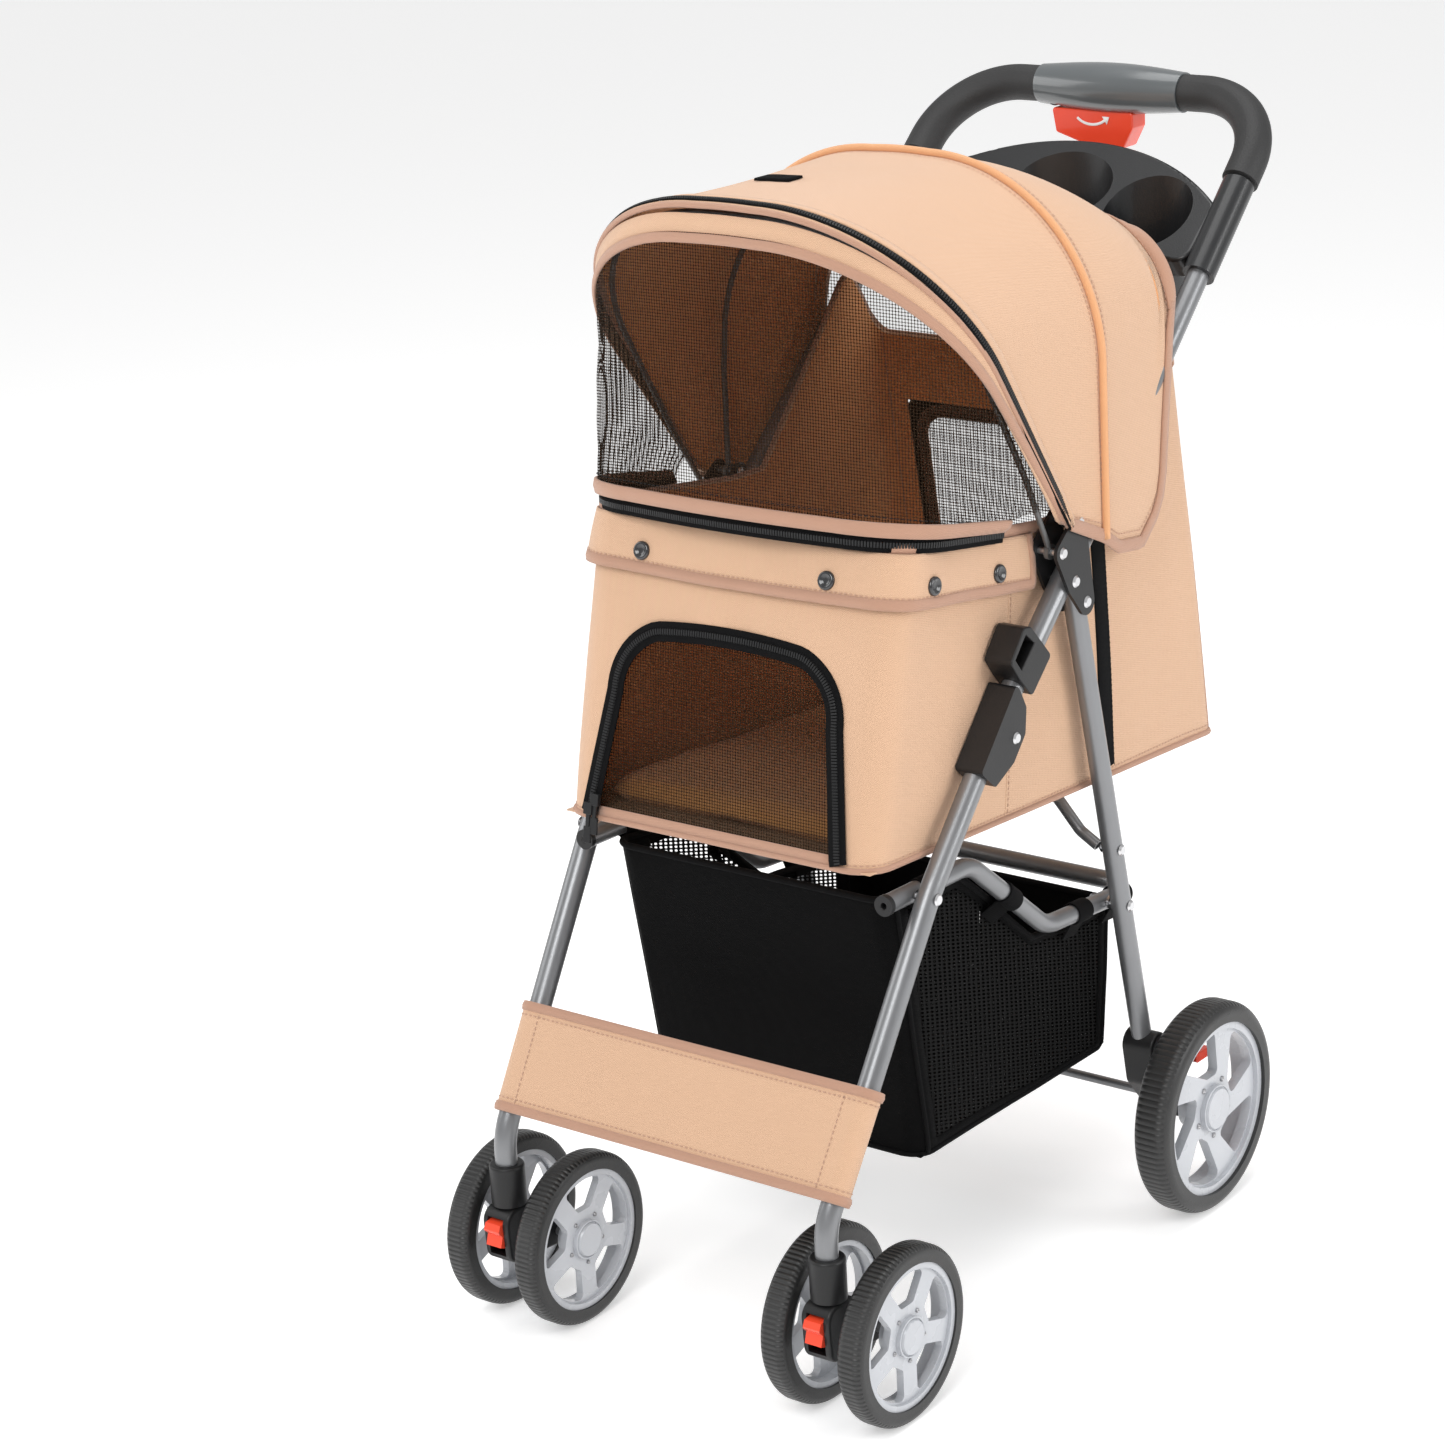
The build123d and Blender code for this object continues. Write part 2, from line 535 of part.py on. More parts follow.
# ---- sliding latches ----
LATCH_S = (24.0, 64.0)
with BuildPart() as latch:
    with BuildSketch(side_plane(FRAME_X - cheek_out)):
        outline = ((LATCH_S[0], 12.5), (LATCH_S[0], -14), (LATCH_S[0] + 2, -34), (LATCH_S[1] - 6, -38),
                   (LATCH_S[1], -30), (LATCH_S[1], 12.5))
        Polygon(*[along(JOINT, HANDLE_ANGLE, s, w) for s, w in outline], align=None)
        fillet(vertices(), 4)
        loop_hole = ((LATCH_S[0] + 7, -16.5), (LATCH_S[0] + 8, -30), (LATCH_S[1] - 9, -32), (LATCH_S[1] - 7, -16.5))
        with BuildLine():
            Polyline(*[along(JOINT, HANDLE_ANGLE, s, w) for s, w in loop_hole], close=True)
        make_face(mode=Mode.SUBTRACT)
    extrude(amount=2 * cheek_out)
    with BuildSketch(Plane(origin=at_x(FRAME_X, JOINT), z_dir=handle_dir)):
        Circle(MAIN_TUBE_D / 2 + 0.1)
    extrude(amount=100, mode=Mode.SUBTRACT)
    fillet(edges().filter_by(GeomType.LINE).group_by(Axis.X)[-1], 1.2)
save_pair(latch.part, "latch_loop")

# ---- parent tray ----
CUP_X = 96.0
CUP_DEPTH = 66.0
TRAY_SHELL = 2.6
TRAY_SKIRT = 24.0
TRAY_TILT = 38.0                # its top leans forward, nearly along the handle tubes
TRAY_MIDDLE = from_axle(574, 858)
SLEEVE_S = (434.0, 530.0)

tray_top = Plane(origin=at_x(0, TRAY_MIDDLE), x_dir=(1, 0, 0), z_dir=at_x(0, along((0, 0), TRAY_TILT + 90, 1)))


def tray_outline(inset):
    """Crescent rim of the tray on its leaning top."""
    half = 157 - inset
    front = -50 + inset
    with BuildLine() as outline:
        Line((-half, 14 - inset), (-half, front))
        ThreePointArc((-half, front), (0, front + 7), (half, front))
        Line((half, front), (half, 14 - inset))
        ThreePointArc((half, 14 - inset), (0, 74 - inset), (-half, 14 - inset))
    return outline.line


# each well: middle and half sizes of its mouth on the leaning top, then the same of its level floor, and its depth
tray_wells = [((cup_x, 0), (42, 41), (cup_x, 0), (33, 29), CUP_DEPTH) for cup_x in (-CUP_X, CUP_X)]
tray_wells.append(((0, 22), (49, 38), (0, 17), (44, 26), 28))


def tray_well(mouth, mouth_size, foot, foot_size, depth, wall):
    """Solid of one well, grown outwards by wall."""
    floor_plane = Plane(origin=(0, TRAY_MIDDLE[0], TRAY_MIDDLE[1] - depth - wall))
    with BuildPart() as well:
        with BuildSketch(floor_plane):
            with Locations(foot):
                Ellipse(foot_size[0] + wall, foot_size[1] + wall)
        with BuildSketch(tray_top):
            with Locations(mouth):
                Ellipse(mouth_size[0] + wall, mouth_size[1] + wall)
        loft()
    return well.part


with BuildPart() as tray:
    with BuildSketch(tray_top.offset(-TRAY_SKIRT)):
        add(tray_outline(0))
        make_face()
        fillet(vertices(), 14)
    extrude(amount=TRAY_SKIRT)
    fillet(edges().group_by(SortBy.LENGTH)[-1] + edges().group_by(SortBy.LENGTH)[-2], 3)
    with BuildSketch(tray_top.offset(-TRAY_SKIRT)):
        add(tray_outline(TRAY_SHELL))
        make_face()
        fillet(vertices(), 11.4)
    extrude(amount=TRAY_SKIRT - TRAY_SHELL, mode=Mode.SUBTRACT)
    for well_numbers in tray_wells:
        add(tray_well(*well_numbers, TRAY_SHELL))
    for well_numbers in tray_wells:
        add(tray_well(*well_numbers, 0), mode=Mode.SUBTRACT)
    # sleeves round the handle tubes, joined to the rim
    for side_x in (-1, 1):
        sleeve_low = on_handle(side_x * 167.3, SLEEVE_S[0])
        sleeve_high = on_handle(side_x * 165.6, SLEEVE_S[1])
        with BuildSketch(Plane(origin=sleeve_low, x_dir=(1, 0, 0), z_dir=sleeve_high - sleeve_low)):
            Circle(14)
        extrude(amount=(sleeve_high - sleeve_low).length)
    for side_x in (-1, 1):
        bore_low = on_handle(side_x * 167.65, SLEEVE_S[0] - 20)
        bore_high = on_handle(side_x * 165.25, SLEEVE_S[1] + 20)
        with BuildSketch(Plane(origin=bore_low, z_dir=bore_high - bore_low)):
            Circle(MAIN_TUBE_D / 2 + 0.15)
        extrude(amount=(bore_high - bore_low).length, mode=Mode.SUBTRACT)
save(tray.part, "parent_tray")

# ---- cabin ----
FACE_LEAN = 13.9                # front wall, from upright
FACE_FOOT = from_axle(50, 437)
REAR_FOOT = from_axle(575, 398)
REAR_LEAN = 9.1
FACE_CORNER_R = 22.0


def leaning_plane(foot, lean, facing):
    """Plane through foot with local x along X and local y up; facing is +1 for back, -1 for front."""
    a = math.radians(lean)
    return Plane(origin=at_x(0, foot), x_dir=(1, 0, 0), z_dir=(0, facing * math.cos(a), math.sin(a)))


def up_face(s, inward=0.0):
    """Side-view point on the cabin's front face, s up from its foot."""
    return along(FACE_FOOT, 90 - FACE_LEAN, s, inward)


face_plane = leaning_plane(FACE_FOOT, FACE_LEAN, -1)
rear_plane = Plane(origin=at_x(0, REAR_FOOT), x_dir=(-1, 0, 0),
                   z_dir=(0, math.cos(math.radians(REAR_LEAN)), math.sin(math.radians(REAR_LEAN))))
cabin_rim = [from_axle(y, z) for y, z in ((112, 688), (300, 657), (345, 655), (471, 797), (482, 803), (520, 742))]
cabin_outline = [FACE_FOOT] + cabin_rim + [REAR_FOOT]
cabin_inside = [from_axle(y, z) for y, z in ((54.0, 440), (115.4, 690), (116, 900), (481, 900), (479.5, 801),
                                             (516.8, 740), (571.4, 401.5))]


def door_outline(half_low, half_mid, mid_s, top_s, top_half):
    """Arched door outline from its foot up, in the plane of the front wall."""
    with BuildLine() as outline:
        Polyline((half_mid, mid_s), (half_low, 3), (-half_low, 3), (-half_mid, mid_s))
        ThreePointArc((-half_mid, mid_s), (-half_mid + 18, mid_s + 0.62 * (top_s - mid_s)), (-top_half, top_s))
        Line((-top_half, top_s), (top_half, top_s))
        ThreePointArc((top_half, top_s), (half_mid - 18, mid_s + 0.62 * (top_s - mid_s)), (half_mid, mid_s))
    return outline.line


with BuildPart() as cabin:
    with BuildSketch(side_plane(-CABIN_HALF_W)):
        Polygon(*cabin_outline, align=None)
    extrude(amount=2 * CABIN_HALF_W)
    fillet(faces().sort_by(Axis.Y)[0].edges().filter_by(Axis.X, reverse=True), FACE_CORNER_R)
    with BuildSketch(side_plane(-CABIN_HALF_W + CABIN_WALL)):
        Polygon(*cabin_inside, align=None)
    extrude(amount=2 * (CABIN_HALF_W - CABIN_WALL), mode=Mode.SUBTRACT)
    with BuildSketch(face_plane.offset(1)):
        add(door_outline(126, 110, 108, 166, 48))
        make_face()
    extrude(amount=-9, mode=Mode.SUBTRACT)
    with BuildSketch(rear_plane.offset(1)):
        with Locations((0, 150)):
            RectangleRounded(256, 270, 30)
    extrude(amount=-8, mode=Mode.SUBTRACT)
save(cabin.part, "cabin_shell")

with BuildPart() as front_door:
    with BuildSketch(face_plane.offset(-0.4)):
        add(door_outline(125.5, 109.5, 107.5, 165.5, 47.5))
        make_face()
        with BuildLine():
            Polyline((-140, -5), (140, -5), (140, 3.6), (-140, 3.6), close=True)
        make_face(mode=Mode.SUBTRACT)
    extrude(amount=-2.2)
save(front_door.part, "front_door")

with BuildPart() as rear_door:
    with BuildSketch(rear_plane.offset(-0.4)):
        with Locations((0, 150)):
            RectangleRounded(255, 269, 29.5)
    extrude(amount=-2.2)
save(rear_door.part, "rear_door")

FLOOR_Y = (62.0, 562.0)
floor_drop = (FACE_FOOT[1] - REAR_FOOT[1]) / (REAR_FOOT[0] - FACE_FOOT[0])


def floor_point(y, height):
    """Side-view point above the cabin's inner floor, y measured back from the front axle."""
    return from_axle(y, 440.0 - floor_drop * (y - 54.0) + height)


def floor_layer(low, high, half_width, front_gap):
    """Flat layer that lies on the cabin floor, with rounded corners."""
    corners = [floor_point(FLOOR_Y[0] + front_gap, low), floor_point(FLOOR_Y[1], low),
               floor_point(FLOOR_Y[1] - 2, high), floor_point(FLOOR_Y[0] + front_gap, high)]
    with BuildPart() as layer:
        with BuildSketch(side_plane(-half_width)):
            Polygon(*corners, align=None)
        extrude(amount=2 * half_width)
    return layer.part


save(floor_layer(0.4, 4.4, 148, 2), "floor_board")
save(floor_layer(4.8, 24.0, 146, 6), "floor_pad")

BAND_T = 2.0
band_low = 208.0
band_high = 252.0
with BuildPart() as front_band:
    for gap, mode in ((SLIP + BAND_T, Mode.ADD), (SLIP, Mode.SUBTRACT)):
        back = 286 if mode == Mode.ADD else 320
        side_low = from_axle(back, 607 - 0.17 * (back - 286))
        side_high = from_axle(back, 650 - 0.17 * (back - 286))
        rise = 0 if mode == Mode.ADD else 6
        lower = up_face(band_low - rise, -gap)
        upper = up_face(band_high + rise, -gap)
        with BuildSketch(side_plane(-CABIN_HALF_W - gap)):
            Polygon(lower, upper, along(side_high, 90, 3 * rise), along(side_low, -90, 3 * rise), align=None)
        band = extrude(amount=2 * (CABIN_HALF_W + gap), mode=Mode.PRIVATE)
        face_edges = band.faces().sort_by(Axis.Y)[0].edges().filter_by(Axis.X, reverse=True)
        add(band.fillet(FACE_CORNER_R + gap, face_edges), mode=mode)
save(front_band.part, "front_band")

SNAP_R = 6.5
band_face = SLIP + BAND_T
side_snaps = [from_axle(y, z) for y, z in ((150, 646), (259, 627))]
with BuildPart() as snaps:
    with BuildSketch(face_plane.offset(band_face)):
        with Locations((-90, 221), (90, 221)):
            Circle(SNAP_R)
    extrude(amount=2.0, taper=20)
    for facing in (-1, 1):
        side_x = facing * (CABIN_HALF_W + band_face)
        with BuildSketch(Plane(origin=(side_x, 0, 0), x_dir=(0, 1, 0), z_dir=(facing, 0, 0))):
            with Locations(*[(y, facing * z) for y, z in side_snaps]):
                Circle(SNAP_R)
        extrude(amount=1.2, taper=20)
save(snaps.part, "snap_fasteners")

with BuildPart() as webbing:
    with BuildSketch(side_plane(CABIN_HALF_W + SLIP)):
        Polygon(from_axle(388, 424), from_axle(408, 422), from_axle(416, 620), from_axle(396, 620), align=None)
    extrude(amount=1.4)
save_both(webbing.part, "side_webbing")

# ---- hood ----
HOOD_CORNER = from_axle(297, 664)
HOOD_HALF_W = 189.5
HOOD_MID_Y = 350.0


def lean_from(foot, lean):
    """Plane across the hood through foot, leaning forward by lean degrees."""
    a = math.radians(lean)
    return Plane(origin=at_x(0, foot), x_dir=(1, 0, 0), z_dir=(0, -math.cos(a), -math.sin(a)))


def arch(plane, half_width, low, high, corner, crown, inset=0.0, drop=0.0):
    """Closed hood cross-section: upright sides, rounded shoulders and a crowned top."""
    half = half_width - inset
    top = high - inset
    radius = corner - inset
    mid = radius * (1 - math.sqrt(0.5))
    with BuildSketch(plane) as section:
        with BuildLine():
            Polyline((-half, top - radius - crown), (-half, low - drop), (half, low - drop),
                     (half, top - radius - crown))
            ThreePointArc((half, top - radius - crown), (half - mid, top - mid - crown), (half - radius, top - crown))
            ThreePointArc((half - radius, top - crown), (0, top), (-half + radius, top - crown))
            ThreePointArc((-half + radius, top - crown), (-half + mid, top - mid - crown),
                          (-half, top - radius - crown))
        make_face()
    return section.sketch


def hood_shell(outer_sections, inner_sections):
    """Thin shell between two ruled lofts through lists of closed sections."""
    outer = loft(outer_sections, ruled=True)
    inner = loft(inner_sections, ruled=True)
    return outer - inner


front_arch = (lean_from(HOOD_CORNER, 34), HOOD_HALF_W, 0, 340, 160, 6)
middle_arch = (Plane(origin=at_x(0, from_axle(HOOD_MID_Y, 636)), x_dir=(1, 0, 0), z_dir=(0, -1, 0)),
               HOOD_HALF_W, 0, 308, 158, 6)
rear_arch = (Plane(origin=at_x(0, from_axle(480, 636)), x_dir=(1, 0, 0), z_dir=(0, -1, 0)),
             183, 0, 257, 30, 66)
slope_arch = (lean_from(HOOD_CORNER, 58), 184, 34, 236, 92, 12)
rim_arch = (lean_from(HOOD_CORNER, 80.3), 167, 66, 214, 60, 14)

hood_front = hood_shell([arch(*front_arch), arch(*middle_arch)],
                        [arch(*front_arch, inset=HOOD_T, drop=20), arch(*middle_arch, inset=HOOD_T, drop=20)])
save(hood_front.moved(Location((0, -0.3, 0))), "hood_front")

hood_rear = hood_shell([arch(*middle_arch), arch(*rear_arch)],
                       [arch(*middle_arch, inset=HOOD_T, drop=60),
                        arch(*rear_arch, inset=HOOD_T, drop=60).moved(Location((0, -2.5, 0)))])
hood_side = [from_axle(y, z) for y, z in ((350, 640), (375, 622), (415, 615), (455, 650), (472, 800), (476, 812), (490, 812),
                                          (490, 1000), (350, 1000))]
with BuildPart() as hood_keep:
    with BuildSketch(side_plane(-220)):
        Polygon(*hood_side, align=None)
    extrude(amount=440)
save((hood_rear & hood_keep.part).moved(Location((0, 0.3, 0))), "hood_rear")

window = hood_shell([arch(*rim_arch), arch(*slope_arch), arch(*front_arch)],
                    [arch(*rim_arch, inset=1.6, drop=20), arch(*slope_arch, inset=1.6, drop=20),
                     arch(*front_arch, inset=1.6, drop=20)])
save(window.moved(Location((0, -0.8, 0.4))), "window_panel")


def hood_bow(foot, top, half_width, corner):
    """Round bow rod from one bracket over to the other, with a flat eye at each foot."""
    points = [at_x(FRAME_X, foot), at_x(half_width, along(foot, math.degrees(math.atan2(
        top[1] - foot[1], top[0] - foot[0])), 80)), at_x(half_width, top)]
    points += [(-x, y, z) for x, y, z in reversed(points)]
    rod = tube(points, [60, corner, corner, 60], 5.0, 0)
    eye = plate(FRAME_X - 2, 4, [(foot, 6.5)], [foot], PIN_R + RUN_CLEARANCE)
    for piece in (eye, mirror(eye, about=Plane.YZ)):
        rod = rod + piece
    for pin_x in (-FRAME_X, FRAME_X):
        rod = drilled(rod, [foot], PIN_R + RUN_CLEARANCE, pin_x - 8, pin_x + 8)
    return rod


save(hood_bow(HOOD_PIVOT, from_axle(123.5, 933.5), 177.5, 150), "front_bow")
save(hood_bow(REAR_BOW_FOOT, from_axle(344, 927), 177.5, 150), "rear_bow")
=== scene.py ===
import math

import bmesh
import bpy
from mathutils import Matrix, Vector, noise


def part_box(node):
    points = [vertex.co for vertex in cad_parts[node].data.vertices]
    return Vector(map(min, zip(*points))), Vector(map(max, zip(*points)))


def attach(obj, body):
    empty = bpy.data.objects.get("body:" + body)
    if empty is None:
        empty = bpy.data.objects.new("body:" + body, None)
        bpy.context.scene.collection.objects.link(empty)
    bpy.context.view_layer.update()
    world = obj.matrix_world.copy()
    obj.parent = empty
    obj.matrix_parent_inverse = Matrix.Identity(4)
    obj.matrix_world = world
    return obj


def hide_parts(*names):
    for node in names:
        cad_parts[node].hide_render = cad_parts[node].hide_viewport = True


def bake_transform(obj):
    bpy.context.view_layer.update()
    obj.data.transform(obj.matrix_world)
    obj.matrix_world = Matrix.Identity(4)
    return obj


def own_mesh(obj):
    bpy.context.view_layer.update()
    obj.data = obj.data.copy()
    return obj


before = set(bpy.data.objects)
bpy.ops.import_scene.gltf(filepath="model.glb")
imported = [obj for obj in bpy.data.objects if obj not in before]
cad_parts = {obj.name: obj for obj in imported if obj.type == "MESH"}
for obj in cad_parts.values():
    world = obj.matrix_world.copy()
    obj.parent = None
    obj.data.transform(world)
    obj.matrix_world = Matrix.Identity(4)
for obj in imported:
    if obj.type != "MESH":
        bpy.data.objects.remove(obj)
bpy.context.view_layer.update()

# ---- places ----
axle_low, axle_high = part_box("caster_axle_left")
HUB_Y = (axle_low.y + axle_high.y) / 2          # side-view points are measured back from the front axle


def at(x, y, z):
    """Millimetres, with y measured back from the front axle, as a point in the row frame."""
    return Vector((x / 1000, HUB_Y + y / 1000, z / 1000))


def lerp(a, b, t):
    return a + (b - a) * t


def clamp(t, low=0.0, high=1.0):
    return max(low, min(high, t))


def smooth(t):
    t = clamp(t)
    return t * t * (3 - 2 * t)


def along_points(table, value):
    """Straight-line interpolation in a short list of (input, output) pairs."""
    if value <= table[0][0]:
        return table[0][1]
    for (a, fa), (b, fb) in zip(table, table[1:]):
        if value <= b:
            return fa + (fb - fa) * (value - a) / (b - a)
    return table[-1][1]


# ---- materials ----
def new_material(name):
    material = bpy.data.materials.new(name)
    material.use_nodes = True
    tree = material.node_tree
    shader = tree.nodes["Principled BSDF"]
    return material, tree, shader


def node(tree, kind, **inputs):
    made = tree.nodes.new(kind)
    for key, value in inputs.items():
        if key in made.inputs:
            made.inputs[key].default_value = value
        else:
            setattr(made, key, value)
    return made


def math_node(tree, operation, a, b=None):
    made = tree.nodes.new("ShaderNodeMath")
    made.operation = operation
    for i, value in enumerate((a, b)):
        if value is None:
            continue
        if isinstance(value, (int, float)):
            made.inputs[i].default_value = value
        else:
            tree.links.new(value, made.inputs[i])
    return made.outputs[0]


def dot_node(tree, vector, direction):
    made = tree.nodes.new("ShaderNodeVectorMath")
    made.operation = "DOT_PRODUCT"
    tree.links.new(vector, made.inputs[0])
    made.inputs[1].default_value = direction
    return made.outputs["Value"]


def noise_node(tree, vector, scale, detail=3.0):
    made = tree.nodes.new("ShaderNodeTexNoise")
    made.inputs["Scale"].default_value = scale
    made.inputs["Detail"].default_value = detail
    tree.links.new(vector, made.inputs["Vector"])
    return made.outputs["Fac"]


def mix_colour(tree, factor, a, b):
    made = tree.nodes.new("ShaderNodeMix")
    made.data_type = "RGBA"
    tree.links.new(factor, made.inputs["Factor"])
    for socket, value in ((made.inputs[6], a), (made.inputs[7], b)):
        if isinstance(value, tuple):
            socket.default_value = (*value, 1)
        else:
            tree.links.new(value, socket)
    return made.outputs[2]


def bump_node(tree, height, distance, normal=None):
    made = tree.nodes.new("ShaderNodeBump")
    made.inputs["Distance"].default_value = distance
    tree.links.new(height, made.inputs["Height"])
    if normal is not None:
        tree.links.new(normal, made.inputs["Normal"])
    return made.outputs["Normal"]


def coordinates(tree):
    return tree.nodes.new("ShaderNodeTexCoord").outputs["Object"]


def scaled(colour, factor):
    return tuple(min(1.0, c * factor) for c in colour)


def weave_height(tree, vector, pitch):
    """Over-and-under height of a plain weave, from 0 to 1."""
    k = 2 * math.pi / pitch
    warp = math_node(tree, "SINE", dot_node(tree, vector, (k, 0.42 * k, 0)))
    weft = math_node(tree, "SINE", dot_node(tree, vector, (0, 0.74 * k, k)))
    return math_node(tree, "MULTIPLY_ADD", math_node(tree, "MULTIPLY", warp, weft), 0.5)


def fabric(name, colour, pitch=0.0019, weave=0.00035, roughness=0.85, fold=0.0012, shade=0.86, sheen=0.25,
           specular=0.25):
    """Woven cloth: over-and-under bump, thread-to-thread colour, soft creases and rubbed places."""
    material, tree, shader = new_material(name)
    place = coordinates(tree)
    height = weave_height(tree, place, pitch)
    broad = noise_node(tree, place, 7.0, 4.0)
    fine = noise_node(tree, place, 900.0, 2.0)
    base = mix_colour(tree, height, scaled(colour, shade), scaled(colour, 1.05))
    speckle = mix_colour(tree, math_node(tree, "MULTIPLY", fine, 0.35), base, scaled(colour, 0.75))
    worn = mix_colour(tree, math_node(tree, "MULTIPLY", broad, 0.3), speckle, scaled(colour, 1.12))
    tree.links.new(worn, shader.inputs["Base Color"])
    shader.inputs["Sheen Weight"].default_value = sheen
    shader.inputs["Sheen Roughness"].default_value = 0.5
    shader.inputs["Specular IOR Level"].default_value = specular
    rough = math_node(tree, "MULTIPLY_ADD", broad, 0.12)
    tree.nodes[-1].inputs[2].default_value = roughness - 0.06
    tree.links.new(rough, shader.inputs["Roughness"])
    creases = bump_node(tree, noise_node(tree, place, 26.0, 3.0), fold)
    tree.links.new(bump_node(tree, height, weave, creases), shader.inputs["Normal"])
    return material


def open_mesh(name, colour, pitch=0.0026, cover=0.55):
    """Open net: threads with see-through holes between them."""
    material, tree, shader = new_material(name)
    place = coordinates(tree)
    k = math.pi / pitch
    warp = math_node(tree, "ABSOLUTE", math_node(tree, "SINE", dot_node(tree, place, (k, 0.5 * k, 0))))
    weft = math_node(tree, "ABSOLUTE", math_node(tree, "SINE", dot_node(tree, place, (0, 0.3 * k, k))))
    hole = math_node(tree, "MULTIPLY", warp, weft)
    solid = math_node(tree, "LESS_THAN", hole, cover)
    tree.links.new(math_node(tree, "MAXIMUM", solid, 0.10), shader.inputs["Alpha"])
    tone = mix_colour(tree, noise_node(tree, place, 300.0), scaled(colour, 0.7), scaled(colour, 1.3))
    tree.links.new(tone, shader.inputs["Base Color"])
    shader.inputs["Roughness"].default_value = 0.8
    shader.inputs["Specular IOR Level"].default_value = 0.08
    tree.links.new(bump_node(tree, hole, 0.0003), shader.inputs["Normal"])
    return material


def moulded(name, colour, roughness=0.5, grain=0.0001, grain_scale=1400.0, coat=0.0, wear=1.6, metallic=0.0,
            specular=0.5):
    """Moulded plastic, paint or metal: fine grain, uneven gloss and edges rubbed a little lighter."""
    material, tree, shader = new_material(name)
    place = coordinates(tree)
    fine = noise_node(tree, place, grain_scale, 2.0)
    broad = noise_node(tree, place, 22.0, 4.0)
    edge = tree.nodes.new("ShaderNodeNewGeometry").outputs["Pointiness"]
    rub = math_node(tree, "MULTIPLY", math_node(tree, "SUBTRACT", edge, 0.52), 5.0)
    rub = math_node(tree, "MULTIPLY", math_node(tree, "MAXIMUM", rub, 0.0), broad)
    rub = math_node(tree, "MINIMUM", rub, 1.0)
    base = mix_colour(tree, broad, scaled(colour, 0.92), scaled(colour, 1.08))
    tree.links.new(mix_colour(tree, rub, base, scaled(colour, wear)), shader.inputs["Base Color"])
    rough = math_node(tree, "MULTIPLY_ADD", broad, 0.16)
    tree.nodes[-1].inputs[2].default_value = roughness - 0.08
    tree.links.new(rough, shader.inputs["Roughness"])
    tree.links.new(bump_node(tree, fine, grain), shader.inputs["Normal"])
    shader.inputs["Metallic"].default_value = metallic
    shader.inputs["Coat Weight"].default_value = coat
    shader.inputs["Coat Roughness"].default_value = 0.12
    shader.inputs["Specular IOR Level"].default_value = specular
    return material


def tread_rubber(name, centre, radius):
    """Black rubber with a raised wavy pattern that runs round the tyre."""
    material, tree, shader = new_material(name)
    place = coordinates(tree)
    local = tree.nodes.new("ShaderNodeVectorMath")
    local.operation = "SUBTRACT"
    tree.links.new(place, local.inputs[0])
    local.inputs[1].default_value = centre
    split = tree.nodes.new("ShaderNodeSeparateXYZ")
    tree.links.new(local.outputs[0], split.inputs[0])
    turn = math_node(tree, "ARCTAN2", split.outputs["Z"], split.outputs["Y"])
    squares = math_node(tree, "ADD", math_node(tree, "MULTIPLY", split.outputs["Y"], split.outputs["Y"]),
                        math_node(tree, "MULTIPLY", split.outputs["Z"], split.outputs["Z"]))
    out = math_node(tree, "SQRT", squares)
    wave = math_node(tree, "SINE", math_node(tree, "MULTIPLY", turn, 26.0))
    offset = math_node(tree, "MULTIPLY", wave, 0.0035)
    band = math_node(tree, "SUBTRACT", out, radius - 0.0075)
    band = math_node(tree, "ABSOLUTE", math_node(tree, "SUBTRACT", band, offset))
    ridge = math_node(tree, "LESS_THAN", band, 0.0011)
    rib = math_node(tree, "ABSOLUTE", math_node(tree, "SINE", math_node(tree, "MULTIPLY", turn, 52.0)))
    top = math_node(tree, "GREATER_THAN", out, radius - 0.0035)
    raised = math_node(tree, "MAXIMUM", ridge, math_node(tree, "MULTIPLY", rib, top))
    broad = noise_node(tree, place, 30.0)
    tree.links.new(mix_colour(tree, broad, (0.012, 0.012, 0.012), (0.024, 0.024, 0.024)), shader.inputs["Base Color"])
    shader.inputs["Roughness"].default_value = 0.42
    fine = bump_node(tree, noise_node(tree, place, 1500.0), 0.00008)
    tree.links.new(bump_node(tree, raised, 0.0009, fine), shader.inputs["Normal"])
    return material


PEACH = (0.67, 0.425, 0.275)
TAPE = (0.50, 0.285, 0.195)
beige = fabric("beige_weave", PEACH)
# Inside face of the cabin and hood: the same beige cloth, given a warmer, more saturated colour as painted light,
# standing in for the warm light bounced round the shaded inside.
beige_inside_painted_bounce = fabric("beige_lining_painted_bounce", (0.80, 0.36, 0.14))
binding_cloth = fabric("binding_tape", TAPE, pitch=0.0013, weave=0.0003, fold=0.0004)
piping_cloth = fabric("piping_cloth", (0.80, 0.41, 0.20), pitch=0.0012, weave=0.0003, fold=0.0003)
black_cloth = fabric("black_weave", (0.0022, 0.0022, 0.0024), pitch=0.0016, roughness=0.8, sheen=0.0, specular=0.08)
black_tape = fabric("black_tape", (0.005, 0.005, 0.0055), pitch=0.0011, weave=0.0004, fold=0.0003, sheen=0.0,
                    specular=0.12)
pad_cloth = fabric("pad_cloth", (0.68, 0.31, 0.10), pitch=0.0021, weave=0.0006, fold=0.0016)
thread = fabric("thread", (0.62, 0.36, 0.25), pitch=0.0007, fold=0.0001)
black_thread = fabric("black_thread", (0.02, 0.02, 0.02), pitch=0.0007, fold=0.0001, sheen=0.0)
window_net = open_mesh("window_net", (0.022, 0.012, 0.006), cover=0.20)
basket_net = open_mesh("basket_net", (0.006, 0.006, 0.006), pitch=0.0034, cover=0.55)
black_plastic = moulded("black_plastic", (0.010, 0.010, 0.0105), 0.40, grain=0.00012, grain_scale=1100, specular=0.35)
tray_plastic = moulded("tray_plastic", (0.011, 0.0115, 0.0125), 0.34, grain=0.00012, grain_scale=900, coat=0.2,
                       specular=0.45)
foam = moulded("foam_rubber", (0.024, 0.024, 0.0245), 0.55, grain=0.0004, grain_scale=700, specular=0.4)
